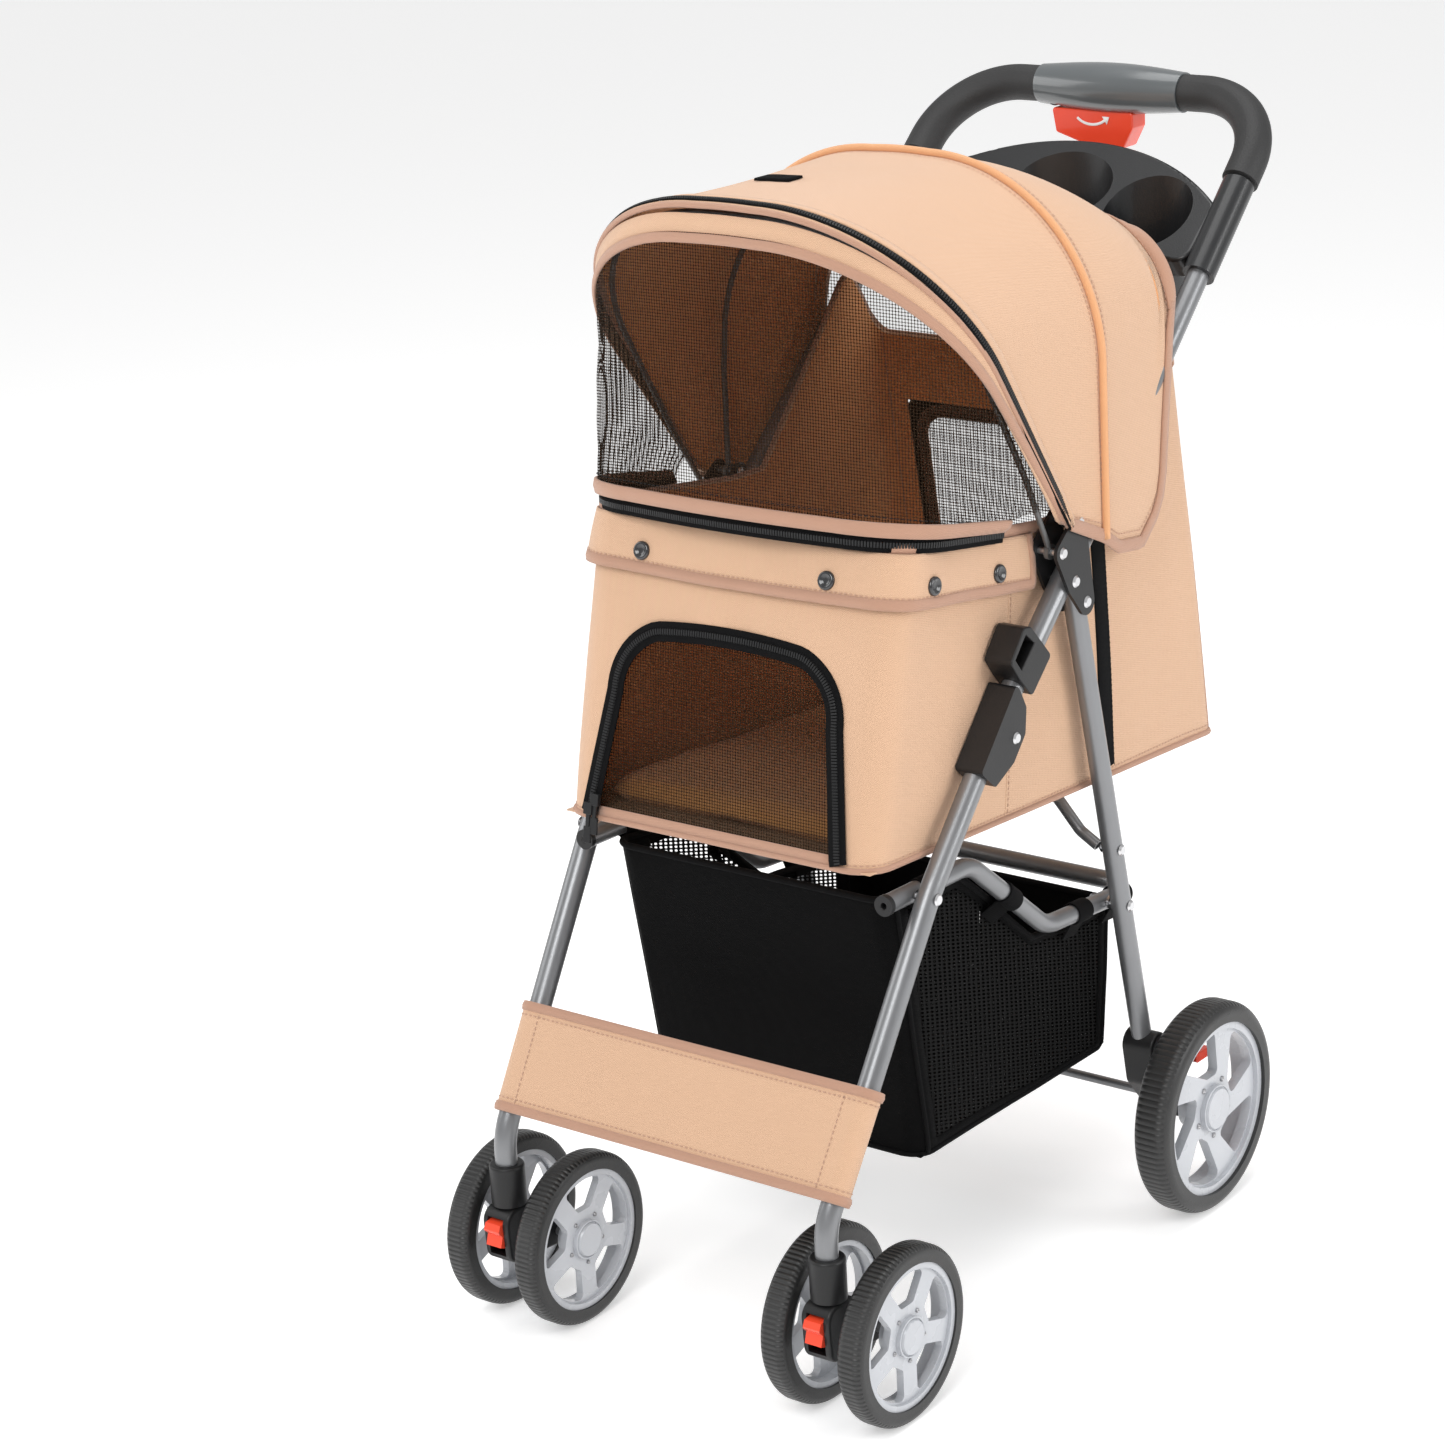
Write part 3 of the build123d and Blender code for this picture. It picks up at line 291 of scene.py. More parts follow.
grip_plastic = moulded("grip_plastic", (0.10, 0.11, 0.115), 0.22, coat=0.5, grain=0.00004)
red_plastic = moulded("red_plastic", (0.85, 0.065, 0.025), 0.24, coat=0.5, grain=0.00004, wear=1.2)
white_mark = moulded("white_mark", (0.85, 0.83, 0.82), 0.4, grain=0.00003)
rim_plastic = moulded("rim_plastic", (0.48, 0.495, 0.525), 0.28, coat=0.4, grain=0.00003, wear=1.15)
screw_steel = moulded("screw_steel", (0.35, 0.35, 0.36), 0.32, metallic=1.0, grain=0.00004)
silver_tube = moulded("silver_tube", (0.21, 0.214, 0.222), 0.34, metallic=0.6, grain=0.00005, grain_scale=2400,
                      coat=0.2, wear=1.15)
rivet_steel = moulded("rivet_steel", (0.60, 0.60, 0.61), 0.30, metallic=1.0, grain=0.00004)
cable_steel = moulded("cable_steel", (0.35, 0.35, 0.35), 0.4, metallic=0.9)
bow_steel = moulded("bow_steel", (0.12, 0.12, 0.12), 0.45, metallic=0.6)
snap_black = moulded("snap_black", (0.02, 0.02, 0.022), 0.2, coat=0.6, grain=0.00003)
board_fibre = moulded("board_fibre", (0.20, 0.13, 0.08), 0.8, grain=0.0003, grain_scale=350)


# ---- mesh helpers ----
def finish_mesh(name, verts, faces, material, body=None, smooth_shade=True):
    mesh = bpy.data.meshes.new(name)
    mesh.from_pydata([tuple(v) for v in verts], [], faces)
    mesh.validate()
    mesh.materials.append(material)
    for polygon in mesh.polygons:
        polygon.use_smooth = smooth_shade
    made = bpy.data.objects.new(name, mesh)
    bpy.context.scene.collection.objects.link(made)
    bm = bmesh.new()
    bm.from_mesh(mesh)
    bmesh.ops.remove_doubles(bm, verts=bm.verts, dist=1e-6)
    bmesh.ops.recalc_face_normals(bm, faces=bm.faces)
    bm.to_mesh(mesh)
    bm.free()
    if body:
        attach(made, body)
    return made


def sheet_mesh(name, surface, us, vs, material, thickness=0.0012, keep=None, body=None, subdivide=0, offset=0.0):
    """Cloth from a surface function sampled on a grid; keep(u, v) says which cells stay."""
    verts = [surface(u, v) for v in vs for u in us]
    width = len(us)
    faces = []
    for j in range(len(vs) - 1):
        for i in range(width - 1):
            if keep and not keep((us[i] + us[i + 1]) / 2, (vs[j] + vs[j + 1]) / 2):
                continue
            a = j * width + i
            faces.append((a, a + 1, a + width + 1, a + width))
    made = finish_mesh(name, verts, faces, material)
    if thickness:
        solid = made.modifiers.new("thickness", "SOLIDIFY")
        solid.thickness = thickness
        solid.offset = offset
    if subdivide:
        made.modifiers.new("rounding", "SUBSURF").levels = subdivide
        made.modifiers["rounding"].render_levels = subdivide
    if body:
        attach(made, body)
    return made


def spread(low, high, count):
    return [lerp(low, high, i / (count - 1)) for i in range(count)]


def normal_of(surface, u, v, step=1e-3):
    across = surface(u + step, v) - surface(u - step, v)
    up = surface(u, v + step) - surface(u, v - step)
    return across.cross(up).normalized()


def tangent_frames(points, normals):
    frames = []
    count = len(points)
    for i, point in enumerate(points):
        ahead = points[min(i + 1, count - 1)] - points[max(i - 1, 0)]
        tangent = ahead.normalized() if ahead.length > 1e-9 else Vector((1, 0, 0))
        normal = (normals[i] - tangent * normals[i].dot(tangent)).normalized()
        frames.append((point, tangent, normal, tangent.cross(normal)))
    return frames


def tape(name, points, normals, width, thickness, material, lift=0.0, shift=0.0, body=None, crown=0.0):
    """Flat tape with rounded edges that follows points, lying across normals."""
    profile = [(-0.5, 0.0), (-0.5, 0.55), (-0.46, 1.0), (0.0, 1.0 + crown), (0.46, 1.0), (0.5, 0.55), (0.5, 0.0)]
    verts = []
    frames = tangent_frames(points, normals)
    for point, _, normal, side in frames:
        for across, up in profile:
            verts.append(point + side * (across * width + shift) + normal * (up * thickness + lift))
    n = len(profile)
    faces = []
    for j in range(len(frames) - 1):
        for i in range(n):
            faces.append((j * n + i, j * n + (i + 1) % n, (j + 1) * n + (i + 1) % n, (j + 1) * n + i))
    faces.append(tuple(range(n - 1, -1, -1)))
    faces.append(tuple((len(frames) - 1) * n + i for i in range(n)))
    return finish_mesh(name, verts, faces, material, body)


def cord_mesh(name, points, normals, radius, material, body=None, lift=0.0, sides=8):
    verts = []
    frames = tangent_frames(points, normals)
    for point, _, normal, side in frames:
        for i in range(sides):
            a = 2 * math.pi * i / sides
            verts.append(point + normal * (lift + radius * math.cos(a)) + side * radius * math.sin(a))
    faces = []
    for j in range(len(frames) - 1):
        for i in range(sides):
            faces.append((j * sides + i, j * sides + (i + 1) % sides, (j + 1) * sides + (i + 1) % sides,
                          (j + 1) * sides + i))
    faces.append(tuple(range(sides - 1, -1, -1)))
    faces.append(tuple((len(frames) - 1) * sides + i for i in range(sides)))
    return finish_mesh(name, verts, faces, material, body)


def resampled(points, normals, pitch):
    """Points and normals at an even pitch along a path."""
    out_points, out_normals = [], []
    carry = 0.0
    for (a, na), (b, nb) in zip(zip(points, normals), zip(points[1:], normals[1:])):
        length = (b - a).length
        if length < 1e-9:
            continue
        t = carry
        while t < length:
            out_points.append(a.lerp(b, t / length))
            out_normals.append(na.lerp(nb, t / length).normalized())
            t += pitch
        carry = t - length
    return out_points, out_normals


def stitches(name, points, normals, material, shift=0.0, lift=0.0002, pitch=0.0048, length=0.0032, body=None,
             half=0.0004):
    """Row of raised thread stitches."""
    points, normals = resampled(points, normals, pitch)
    verts, faces = [], []
    for point, tangent, normal, side in tangent_frames(points, normals):
        centre = point + side * shift + normal * lift
        start = len(verts)
        for along, rise in ((-0.5, 0.0), (-0.25, 0.9), (0.25, 0.9), (0.5, 0.0)):
            for across in (-1, 1):
                verts.append(centre + tangent * along * length + side * across * half + normal * rise * half * 1.5)
        for i in (0, 2, 4):
            faces.append((start + i, start + i + 1, start + i + 3, start + i + 2))
    return finish_mesh(name, verts, faces, material, body)


def zipper(name, points, normals, body=None, width=0.019, lift=0.0, shift=0.0):
    """Black zipper: cloth tape, a raised coil and teeth marks across it."""
    band = tape(name + "_tape", points, normals, width, 0.0011, black_tape, lift=lift, shift=shift, body=body)
    fine_points, fine_normals = resampled(points, normals, 0.0024)
    verts, faces = [], []
    for point, tangent, normal, side in tangent_frames(fine_points, fine_normals):
        centre = point + normal * (lift + 0.0011) + side * shift
        start = len(verts)
        for along in (-0.0008, 0.0008):
            for across, rise in ((-0.0028, 0), (-0.0022, 0.0013), (0.0022, 0.0013), (0.0028, 0)):
                verts.append(centre + tangent * along + side * across + normal * rise)
        for i in range(3):
            faces.append((start + i, start + i + 1, start + i + 5, start + i + 4))
        faces.append((start, start + 4, start + 5, start + 1))
        faces.append((start, start + 1, start + 2, start + 3))
        faces.append((start + 7, start + 6, start + 5, start + 4))
    teeth = finish_mesh(name + "_teeth", verts, faces, black_plastic, body, smooth_shade=False)
    return band, teeth


def zip_pull(name, place, normal, hang, body):
    """Slider with a hanging pull tab."""
    side = hang.cross(normal).normalized()
    bm = bmesh.new()
    parts = ((0.0, 0.005, 0.0042, 0.0042, 0.0022), (0.010, 0.007, 0.0022, 0.0016, 0.0012),
             (0.022, 0.007, 0.0036, 0.0040, 0.0011))
    for down, half_length, half_top, half_low, half_thick in parts:
        centre = place + hang * down + normal * 0.0035
        ring = []
        for along, half in ((-half_length, half_top), (half_length, half_low)):
            for a, b in ((-1, -1), (1, -1), (1, 1), (-1, 1)):
                ring.append(bm.verts.new(centre + hang * along + side * a * half + normal * b * half_thick))
        for i in range(4):
            bm.faces.new((ring[i], ring[(i + 1) % 4], ring[4 + (i + 1) % 4], ring[4 + i]))
        bm.faces.new(ring[0:4])
        bm.faces.new(ring[4:8])
    bmesh.ops.recalc_face_normals(bm, faces=bm.faces)
    mesh = bpy.data.meshes.new(name)
    bm.to_mesh(mesh)
    bm.free()
    mesh.materials.append(screw_steel if "rear" in name else black_plastic)
    made = bpy.data.objects.new(name, mesh)
    bpy.context.scene.collection.objects.link(made)
    bevel = made.modifiers.new("edges", "BEVEL")
    bevel.width = 0.0005
    bevel.segments = 2
    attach(made, body)
    return made


def on_surface(surface, path, offset=0.0, flip=1):
    """Points and outward normals along a path of (u, v) on a surface."""
    normals = [normal_of(surface, u, v) * flip for u, v in path]
    points = [surface(u, v) + n * offset for (u, v), n in zip(path, normals)]
    return points, normals


# ---- hood and window surfaces ----
FAN_Y, FAN_Z = 297.0, 664.0


def arch_point(u, half, low, high, corner, crown):
    """Point (x, height) on an arch, u from -1 at the right foot to 1 at the left foot, by length."""
    side = max(high - crown - corner - low, 1.0)
    turn = corner * math.pi / 2
    flat = max(half - corner, 1.0)
    total = side + turn + flat
    s = abs(u) * total
    sign = 1 if u >= 0 else -1
    if s <= flat:
        x, t = s, high - crown * (s / flat) ** 2 * (flat / half)
        return sign * x, t
    base = high - crown * (flat / half)
    if s <= flat + turn:
        a = (s - flat) / corner
        return sign * (flat + corner * math.sin(a)), base - corner * (1 - math.cos(a))
    rest = (s - flat - turn) / side
    return sign * half, lerp(base - corner, low, rest)


def fan_point(x, t, lean):
    a = math.radians(lean)
    return at(x, FAN_Y - t * math.sin(a), FAN_Z + t * math.cos(a))


def front_section(u):
    x, t = arch_point(u, 188.5, -2, 340, 160, 6)
    return fan_point(x, t, 34)


def middle_section(u):
    x, z = arch_point(u, 187.5, 638, 943, 158, 7)
    return at(x, 350, z)


HOOD_LOW = [(350, 638), (375, 622), (415, 615), (440, 632), (455, 652), (466, 730), (479, 806)]


def rear_section(u, y):
    t = (y - 350) / 130
    low = along_points(HOOD_LOW, y)
    high = 943 - 50 * t ** 1.6
    x, z = arch_point(u, lerp(187.5, 176, t), low, high, min(lerp(158, 76, t), (high - low) * 0.72), lerp(7, 36, t))
    return at(x, y, z)


HOOD_MID = 0.62


def hood_surface(u, w):
    """Hood from its front edge, w 0, over the middle bow at HOOD_MID to its rear edge, w 1, and down behind."""
    if w <= HOOD_MID:
        t = w / HOOD_MID
        point = front_section(u).lerp(middle_section(u), t)
        slack = -0.0035 * math.sin(math.pi * t)
        out = Vector((point.x, 0, point.z - 0.70)).normalized()
        return point + out * slack * (1 - 0.5 * abs(u))
    if w <= 1.0:
        t = (w - HOOD_MID) / (1 - HOOD_MID)
        return rear_section(u, 350 + 130 * t)
    t = (w - 1.0) / 0.35
    rim = rear_section(u, 480)
    low_line = at(rim.x * 900, 482, 806)
    return rim.lerp(low_line, t) + Vector((0, 0.0025 * math.sin(math.pi * t), 0))


WINDOW_LEAN = [(0, 34), (0.5, 58), (1, 80.3)]


def window_surface(u, v):
    """Net window from the hood's front edge, v 0, down to the cabin's rim, v 1."""
    lean = along_points(WINDOW_LEAN, v)
    half = along_points([(0, 187.0), (0.5, 182), (1, 166)], v)
    low = along_points([(0, -2), (0.5, 30), (1, 62)], v)
    high = along_points([(0, 338), (0.25, 274), (0.5, 237), (0.75, 221), (1, 214)], v)
    corner = along_points([(0, 160), (0.5, 104), (1, 62)], v)
    x, t = arch_point(u, half, low, high, corner, lerp(6, 16, v))
    return fan_point(x, t, lean)


us = spread(-1, 1, 97)
hood = sheet_mesh("hood_cloth", hood_surface, us, spread(0, 1.35, 46), beige, 0.0013, offset=-1.0)
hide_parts("hood_front", "hood_rear")

window = sheet_mesh("window_net_panel", window_surface, us, spread(0.02, 1, 26), window_net, 0.0006)
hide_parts("window_panel")

hood_front_pieces = []      # go with the front bow
hood_blend_pieces = [hood]  # lie between the front bow and the handle frame; baked in place
window_blend_pieces = [window]


def border(name, surface, path, width, thickness, material, lift=0.0, shift=0.0, flip=1, crown=0.0):
    points, normals = on_surface(surface, path, 0.0, flip)
    return tape(name, points, normals, width, thickness, material, lift=lift, shift=shift, crown=crown)


arch_path = [(u, 0.0) for u in spread(-1, 1, 121)]
outward = 1 if normal_of(hood_surface, 0.001, 0.3).z > 0 else -1
window_out = 1 if normal_of(window_surface, 0.001, 0.5).y < 0 else -1


def hood_line(w, low=-1.0, high=1.0, count=121, offset=0.0):
    return on_surface(hood_surface, [(u, w) for u in spread(low, high, count)], offset, outward)


def window_line(v, low=-1.0, high=1.0, count=121, offset=0.0):
    return on_surface(window_surface, [(u, v) for u in spread(low, high, count)], offset, window_out)


# front edge: beige border on the window, zipper behind it, bound edge of the hood
points, normals = window_line(0.040)
hood_front_pieces.append(tape("window_border", points, normals, 0.015, 0.0016, beige, lift=0.0004))
points, normals = window_line(0.072)
hood_front_pieces.append(tape("window_border_binding", points, normals, 0.008, 0.0022, binding_cloth, lift=0.0008,
                              crown=0.5))
points, normals = window_line(0.004)
hood_front_pieces.append(cord_mesh("window_edge_piping", points, normals, 0.0026, binding_cloth, lift=0.0012))
points, normals = hood_line(0.020)
hood_front_pieces.extend(zipper("hood_zipper", points, normals, width=0.011, lift=0.0004))
points, normals = hood_line(0.052)
hood_blend_pieces.append(tape("hood_front_binding", points, normals, 0.010, 0.0016, beige, lift=0.0006))
points, normals = hood_line(0.072)
hood_blend_pieces.append(stitches("hood_front_stitches", points, normals, thread, lift=0.0006))

# piping over the middle bow, with a seam on each side
points, normals = hood_line(HOOD_MID)
middle_piping = cord_mesh("middle_bow_piping", points, normals, 0.0034, piping_cloth, lift=0.0022)
hood_blend_pieces.append(middle_piping)
for name, w in (("a", HOOD_MID - 0.022), ("b", HOOD_MID + 0.03)):
    points, normals = hood_line(w)
    hood_blend_pieces.append(stitches("middle_seam_" + name, points, normals, thread, lift=0.0004))

# rear edge and side edges
points, normals = hood_line(0.995)
rear_binding = tape("hood_rear_binding", points, normals, 0.011, 0.0018, binding_cloth, lift=0.0003, crown=0.5)
rear_pieces = [rear_binding]
for side in (-1, 1):
    word = "left" if side > 0 else "right"
    path = [(side * 0.996, w) for w in spread(0.0, 1.0, 60)]
    points, normals = on_surface(hood_surface, path, 0.0, outward)
    hood_blend_pieces.append(tape("hood_hem_" + word, points, normals, 0.011, 0.0020, binding_cloth,
                                  lift=0.0002, crown=0.4))
    path = [(side * 0.972, w) for w in spread(0.03, 0.98, 60)]
    points, normals = on_surface(hood_surface, path, 0.0, outward)
    hood_blend_pieces.append(stitches("hood_hem_stitches_" + word, points, normals, thread, lift=0.0004))
points, normals = hood_line(0.97, -0.95, 0.95)
rear_pieces.append(stitches("hood_rear_stitches", points, normals, thread, lift=0.0004))

# hook-and-loop tab on the hood's top
path = [(u, 0.30) for u in spread(-0.115, -0.035, 9)]
points, normals = on_surface(hood_surface, path, 0.0, outward)
hood_front_pieces.append(tape("hood_tab", points, normals, 0.019, 0.0022, black_tape, lift=0.0006))

# lower rim of the window: bound edge, black zipper under it
points, normals = window_line(0.965)
lip = tape("window_lip", points, normals, 0.012, 0.0024, binding_cloth, lift=0.0008, crown=0.5)
points, normals = window_line(0.90)
lip_stitches = stitches("window_lip_stitches", points, normals, black_thread, lift=0.0006)


def rim_zip_surface(u, v):
    """Short wall between the window's lower rim and the cabin's band."""
    upper = window_surface(u, 1.0)
    return Vector((upper.x * 0.992, upper.y + 0.002, upper.z - 0.001 - 0.012 * v))


rim_points = [rim_zip_surface(u, 0.5) for u in spread(-0.99, 0.99, 121)]
rim_normals = [(normal_of(rim_zip_surface, u, 0.5) * window_out) for u in spread(-0.99, 0.99, 121)]
rim_zip = zipper("rim_zipper", rim_points, rim_normals, width=0.013)
cabin_rim_pieces = [lip, lip_stitches, *rim_zip]

# ---- cabin ----
FLOOR = [(50, 437), (575, 398)]
RIM = [(112, 688), (300, 659), (345, 657), (400, 716), (471, 797), (482, 803), (500, 776), (520, 742)]
FACE_R, REAR_R = 26.0, 14.0
CABIN_HALF = 154.5


def perimeter(u):
    """u from 0 at the middle of the front, 1 at the middle of the back on the left: (x, y share, corner)."""
    front = CABIN_HALF - FACE_R
    corner = FACE_R * math.pi / 2
    side = 525 - FACE_R - REAR_R
    rear_corner = REAR_R * math.pi / 2
    rear = CABIN_HALF - REAR_R
    total = front + corner + side + rear_corner + rear
    s = abs(u) * total
    if s < front:
        return s, 0.0
    s -= front
    if s < corner:
        a = s / FACE_R
        return front + FACE_R * math.sin(a), FACE_R * (1 - math.cos(a))
    s -= corner
    if s < side:
        return CABIN_HALF, FACE_R + s
    s -= side
    if s < rear_corner:
        a = s / REAR_R
        return CABIN_HALF - REAR_R * (1 - math.cos(a)), FACE_R + side + REAR_R * math.sin(a)
    s -= rear_corner
    return rear - s, 525.0


PERIMETER = (CABIN_HALF - FACE_R) + FACE_R * math.pi / 2 + (525 - FACE_R - REAR_R) + REAR_R * math.pi / 2 + (
    CABIN_HALF - REAR_R)


def cabin_surface(u, v):
    """Cabin wall, v 0 at the floor and 1 at the rim, a little slack between its seams."""
    x, back = perimeter(u)
    share = back / 525.0
    y_low, z_low = lerp(50, 575, share), lerp(437, 398, share)
    y_high = lerp(112, 520, share)
    z_high = along_points(RIM, y_high)
    slack = math.sin(math.pi * clamp(v)) ** 0.7 if 0 < v < 1 else 0.0
    sign = 1 if u >= 0 else -1
    ripple = noise.noise(Vector((sign * x * 0.012, back * 0.011, v * 2.1))) * 2.2 * slack
    fine = noise.noise(Vector((sign * x * 0.03, back * 0.035 + 9, v * 3.4))) * 0.9 * slack
    bulge = 1.6 * slack + ripple + fine
    y = lerp(y_low, y_high, v)
    z = lerp(z_low, z_high, v)
    nx = clamp((x - (CABIN_HALF - FACE_R)) / FACE_R)
    px = x + bulge * nx
    ny = -bulge * (1 - nx) if share < 0.5 else bulge * (1 - nx)
    return at(sign * px, y + ny, z)


def front_uv(x, s):
    """(u, v) of a point on the front face, x across and s up from its foot."""
    return x / PERIMETER, s / 258.5


DOOR_LOW, DOOR_MID, DOOR_MID_S, DOOR_TOP_S, DOOR_TOP_HALF = 126.0, 110.0, 108.0, 166.0, 48.0


def door_half(s):
    """Half width of the front door at height s."""
    if s <= DOOR_MID_S:
        return lerp(DOOR_LOW, DOOR_MID, s / DOOR_MID_S)
    t = clamp((s - DOOR_MID_S) / (DOOR_TOP_S - DOOR_MID_S))
    return DOOR_TOP_HALF + (DOOR_MID - DOOR_TOP_HALF) * math.sqrt(max(0.0, 1 - t ** 2.0))


def in_front_door(u, v):
    s = v * 258.5
    x = abs(u) * PERIMETER
    return 2.0 < s < DOOR_TOP_S and x < door_half(s) and x < 133


def rear_s(v):
    return v * 348.0


def in_rear_door(u, v):
    distance = (1 - abs(u)) * PERIMETER
    return abs(u) > 0.5 and distance < 128 and 15 < rear_s(v) < 285


cabin_us = sorted(set([0.0] + [sign * lerp(0, 1, (i / 150) ** 1.0) for i in range(151) for sign in (-1, 1)]))
cabin = sheet_mesh("cabin_cloth", cabin_surface, cabin_us, spread(0, 1, 64), beige, 0.0014,
                   keep=lambda u, v: not in_front_door(u, v) and not in_rear_door(u, v))
cabin_out = 1 if normal_of(cabin_surface, 0.02, 0.5).y < 0 else -1


def floor_surface(u, v):
    x = u * (CABIN_HALF - 1)
    y = lerp(52, 573, v)
    z = lerp(437, 398, v) + 0.4
    return at(x, y, z - 0.8 * math.sin(math.pi * v) * math.cos(u * math.pi / 2))


cabin_floor = sheet_mesh("cabin_floor_cloth", floor_surface, spread(-1, 1, 25), spread(0, 1, 41), beige, 0.0012)
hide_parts("cabin_shell")
cabin_pieces = [cabin, cabin_floor]


def lining_surface(u, v):
    point = cabin_surface(u, v)
    return point - normal_of(cabin_surface, u, clamp(v, 0.002, 0.998)) * cabin_out * 0.0013


# The cabin's inner face takes the beige with painted bounce light.
lining = sheet_mesh("cabin_lining", lining_surface, cabin_us, spread(0.01, 0.995, 40), beige_inside_painted_bounce, 0,
                    keep=lambda u, v: not in_front_door(u, v) and not in_rear_door(u, v))
cabin_pieces.append(lining)


def hood_lining_surface(u, w):
    return hood_surface(u, w) - normal_of(hood_surface, clamp(u, -0.998, 0.998), w) * outward * 0.0020


# The hood's inner face takes the beige with painted bounce light.
hood_lining = sheet_mesh("hood_lining", hood_lining_surface, spread(-0.99, 0.99, 61), spread(0.02, 1.3, 34),
                         beige_inside_painted_bounce, 0)
hood_blend_pieces.append(hood_lining)


# bottom piping, rim binding, corner seams
def cabin_line(v, low, high, count, offset=0.0):
    return on_surface(cabin_surface, [(u, v) for u in spread(low, high, count)], offset, cabin_out)


points, normals = cabin_line(0.004, -1, 1, 260)
cabin_pieces.append(cord_mesh("cabin_bottom_piping", points, normals, 0.0026, binding_cloth, lift=0.0008))
points, normals = cabin_line(0.022, -1, 1, 260)
cabin_pieces.append(stitches("cabin_bottom_stitches", points, normals, thread, lift=0.0008))
points, normals = cabin_line(0.992, -1, 1, 300)
cabin_pieces.append(tape("cabin_rim_binding", points, normals, 0.010, 0.0022, binding_cloth, crown=0.4))
for side in (-1, 1):
    word = "left" if side > 0 else "right"
    seam_u = side * (CABIN_HALF - FACE_R + FACE_R * math.pi / 2 + 190 - FACE_R) / PERIMETER
    points, normals = on_surface(cabin_surface, [(seam_u, v) for v in spread(0.01, 0.97, 60)], 0.0, cabin_out)
    cabin_pieces.append(cord_mesh("side_seam_" + word, points, normals, 0.0009, beige, lift=0.0003))
    cabin_pieces.append(stitches("side_seam_stitches_" + word, points, normals, thread, shift=0.003, lift=0.0008))
    rear_u = side * (1 - (CABIN_HALF - REAR_R / 2) / PERIMETER)
    points, normals = on_surface(cabin_surface, [(rear_u, v) for v in spread(0.01, 0.99, 60)], 0.0, cabin_out)
    cabin_pieces.append(cord_mesh("rear_corner_piping_" + word, points, normals, 0.0026, binding_cloth, lift=0.001))
    web_u = side * (CABIN_HALF - FACE_R + FACE_R * math.pi / 2 + 348 - FACE_R) / PERIMETER
    points, normals = on_surface(cabin_surface, [(web_u, v) for v in spread(0.03, 0.76, 50)], 0.0, cabin_out)
    webbing = tape("side_webbing_" + word, points, normals, 0.020, 0.0016, black_tape, lift=0.0006)
    cabin_pieces.append(webbing)
    cabin_pieces.append(stitches("webbing_stitches_" + word, points, normals, black_thread, shift=0.008, lift=0.0024))
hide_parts("side_webbing")


# ---- front band with snaps ----
def band_surface(u, v):
    """Folded-over band round the cabin's top, u as on the cabin, v 0 at its lower edge."""
    x, back = perimeter(u)
    share = back / 525.0
    y_rim = lerp(112, 520, share)
    z_rim = along_points(RIM, y_rim) - 7
    drop = 46 + 1.2 * math.cos(u * 14)
    height = z_rim - lerp(437, 398, share)
    low = 1 - drop / height
    vv = lerp(low, 1 - 6 / height, v)
    point = cabin_surface(u, vv)
    out = normal_of(cabin_surface, u, min(vv, 0.995)) * cabin_out
    swell = 0.0032 + 0.0035 * math.sin(math.pi * (1 - v) * 0.55) + 0.0012 * noise.noise(point * 26)
    return point + out * swell


BAND_END = (CABIN_HALF - FACE_R + FACE_R * math.pi / 2 + 222 - FACE_R) / PERIMETER
band = sheet_mesh("front_band_cloth", band_surface, spread(-BAND_END, BAND_END, 181), spread(0, 1, 15), beige, 0.0018)
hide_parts("front_band")
cabin_pieces.append(band)
band_out = 1 if normal_of(band_surface, 0.02, 0.5).y < 0 else -1


def band_line(v, low=-BAND_END, high=BAND_END, count=201):
    return on_surface(band_surface, [(u, v) for u in spread(low, high, count)], 0.0, band_out)


points, normals = band_line(0.04)
cabin_pieces.append(tape("band_low_binding", points, normals, 0.009, 0.0018, binding_cloth, crown=0.4))
points, normals = band_line(0.17)
cabin_pieces.append(stitches("band_stitches", points, normals, thread, lift=0.0012))
for side in (-1, 1):
    points, normals = on_surface(band_surface, [(side * BAND_END * 0.995, v) for v in spread(0, 1, 20)], 0, band_out)
    cabin_pieces.append(tape("band_end_binding_" + ("left" if side > 0 else "right"), points, normals, 0.008, 0.0018,
                             binding_cloth, crown=0.4))


def dome(name, place, normal, radius, height, material, body, sides=24, dent=0.45):
    """Snap cap: a low dome with a rolled rim and a dented middle."""
    side = normal.orthogonal().normalized()
    up = normal.cross(side)
    rings = ((1.0, 0.0), (1.0, 0.45), (0.93, 0.8), (0.8, 1.0), (0.62, 0.92), (0.45, dent), (0.2, dent * 0.8))
    verts, faces = [], []
    for share, rise in rings:
        for i in range(sides):
            a = 2 * math.pi * i / sides
            verts.append(place + (side * math.cos(a) + up * math.sin(a)) * radius * share + normal * rise * height)
    for j in range(len(rings) - 1):
        for i in range(sides):
            faces.append((j * sides + i, j * sides + (i + 1) % sides, (j + 1) * sides + (i + 1) % sides,
                          (j + 1) * sides + i))
    faces.append(tuple((len(rings) - 1) * sides + i for i in range(sides)))
    return finish_mesh(name, verts, faces, material, body)


snap_us = [x / PERIMETER for x in (-92, 92)]
for side in (-1, 1):
    for back in (44, 160):
        snap_us.append(side * (CABIN_HALF - FACE_R + FACE_R * math.pi / 2 + back - FACE_R) / PERIMETER)
for i, u in enumerate(snap_us):
    place = band_surface(u, 0.36)
    out = normal_of(band_surface, u, 0.36) * band_out
    dome(f"snap_{i}", place + out * 0.0006, out, 0.0078, 0.0030, snap_black, "handle_frame")
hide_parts("snap_fasteners")

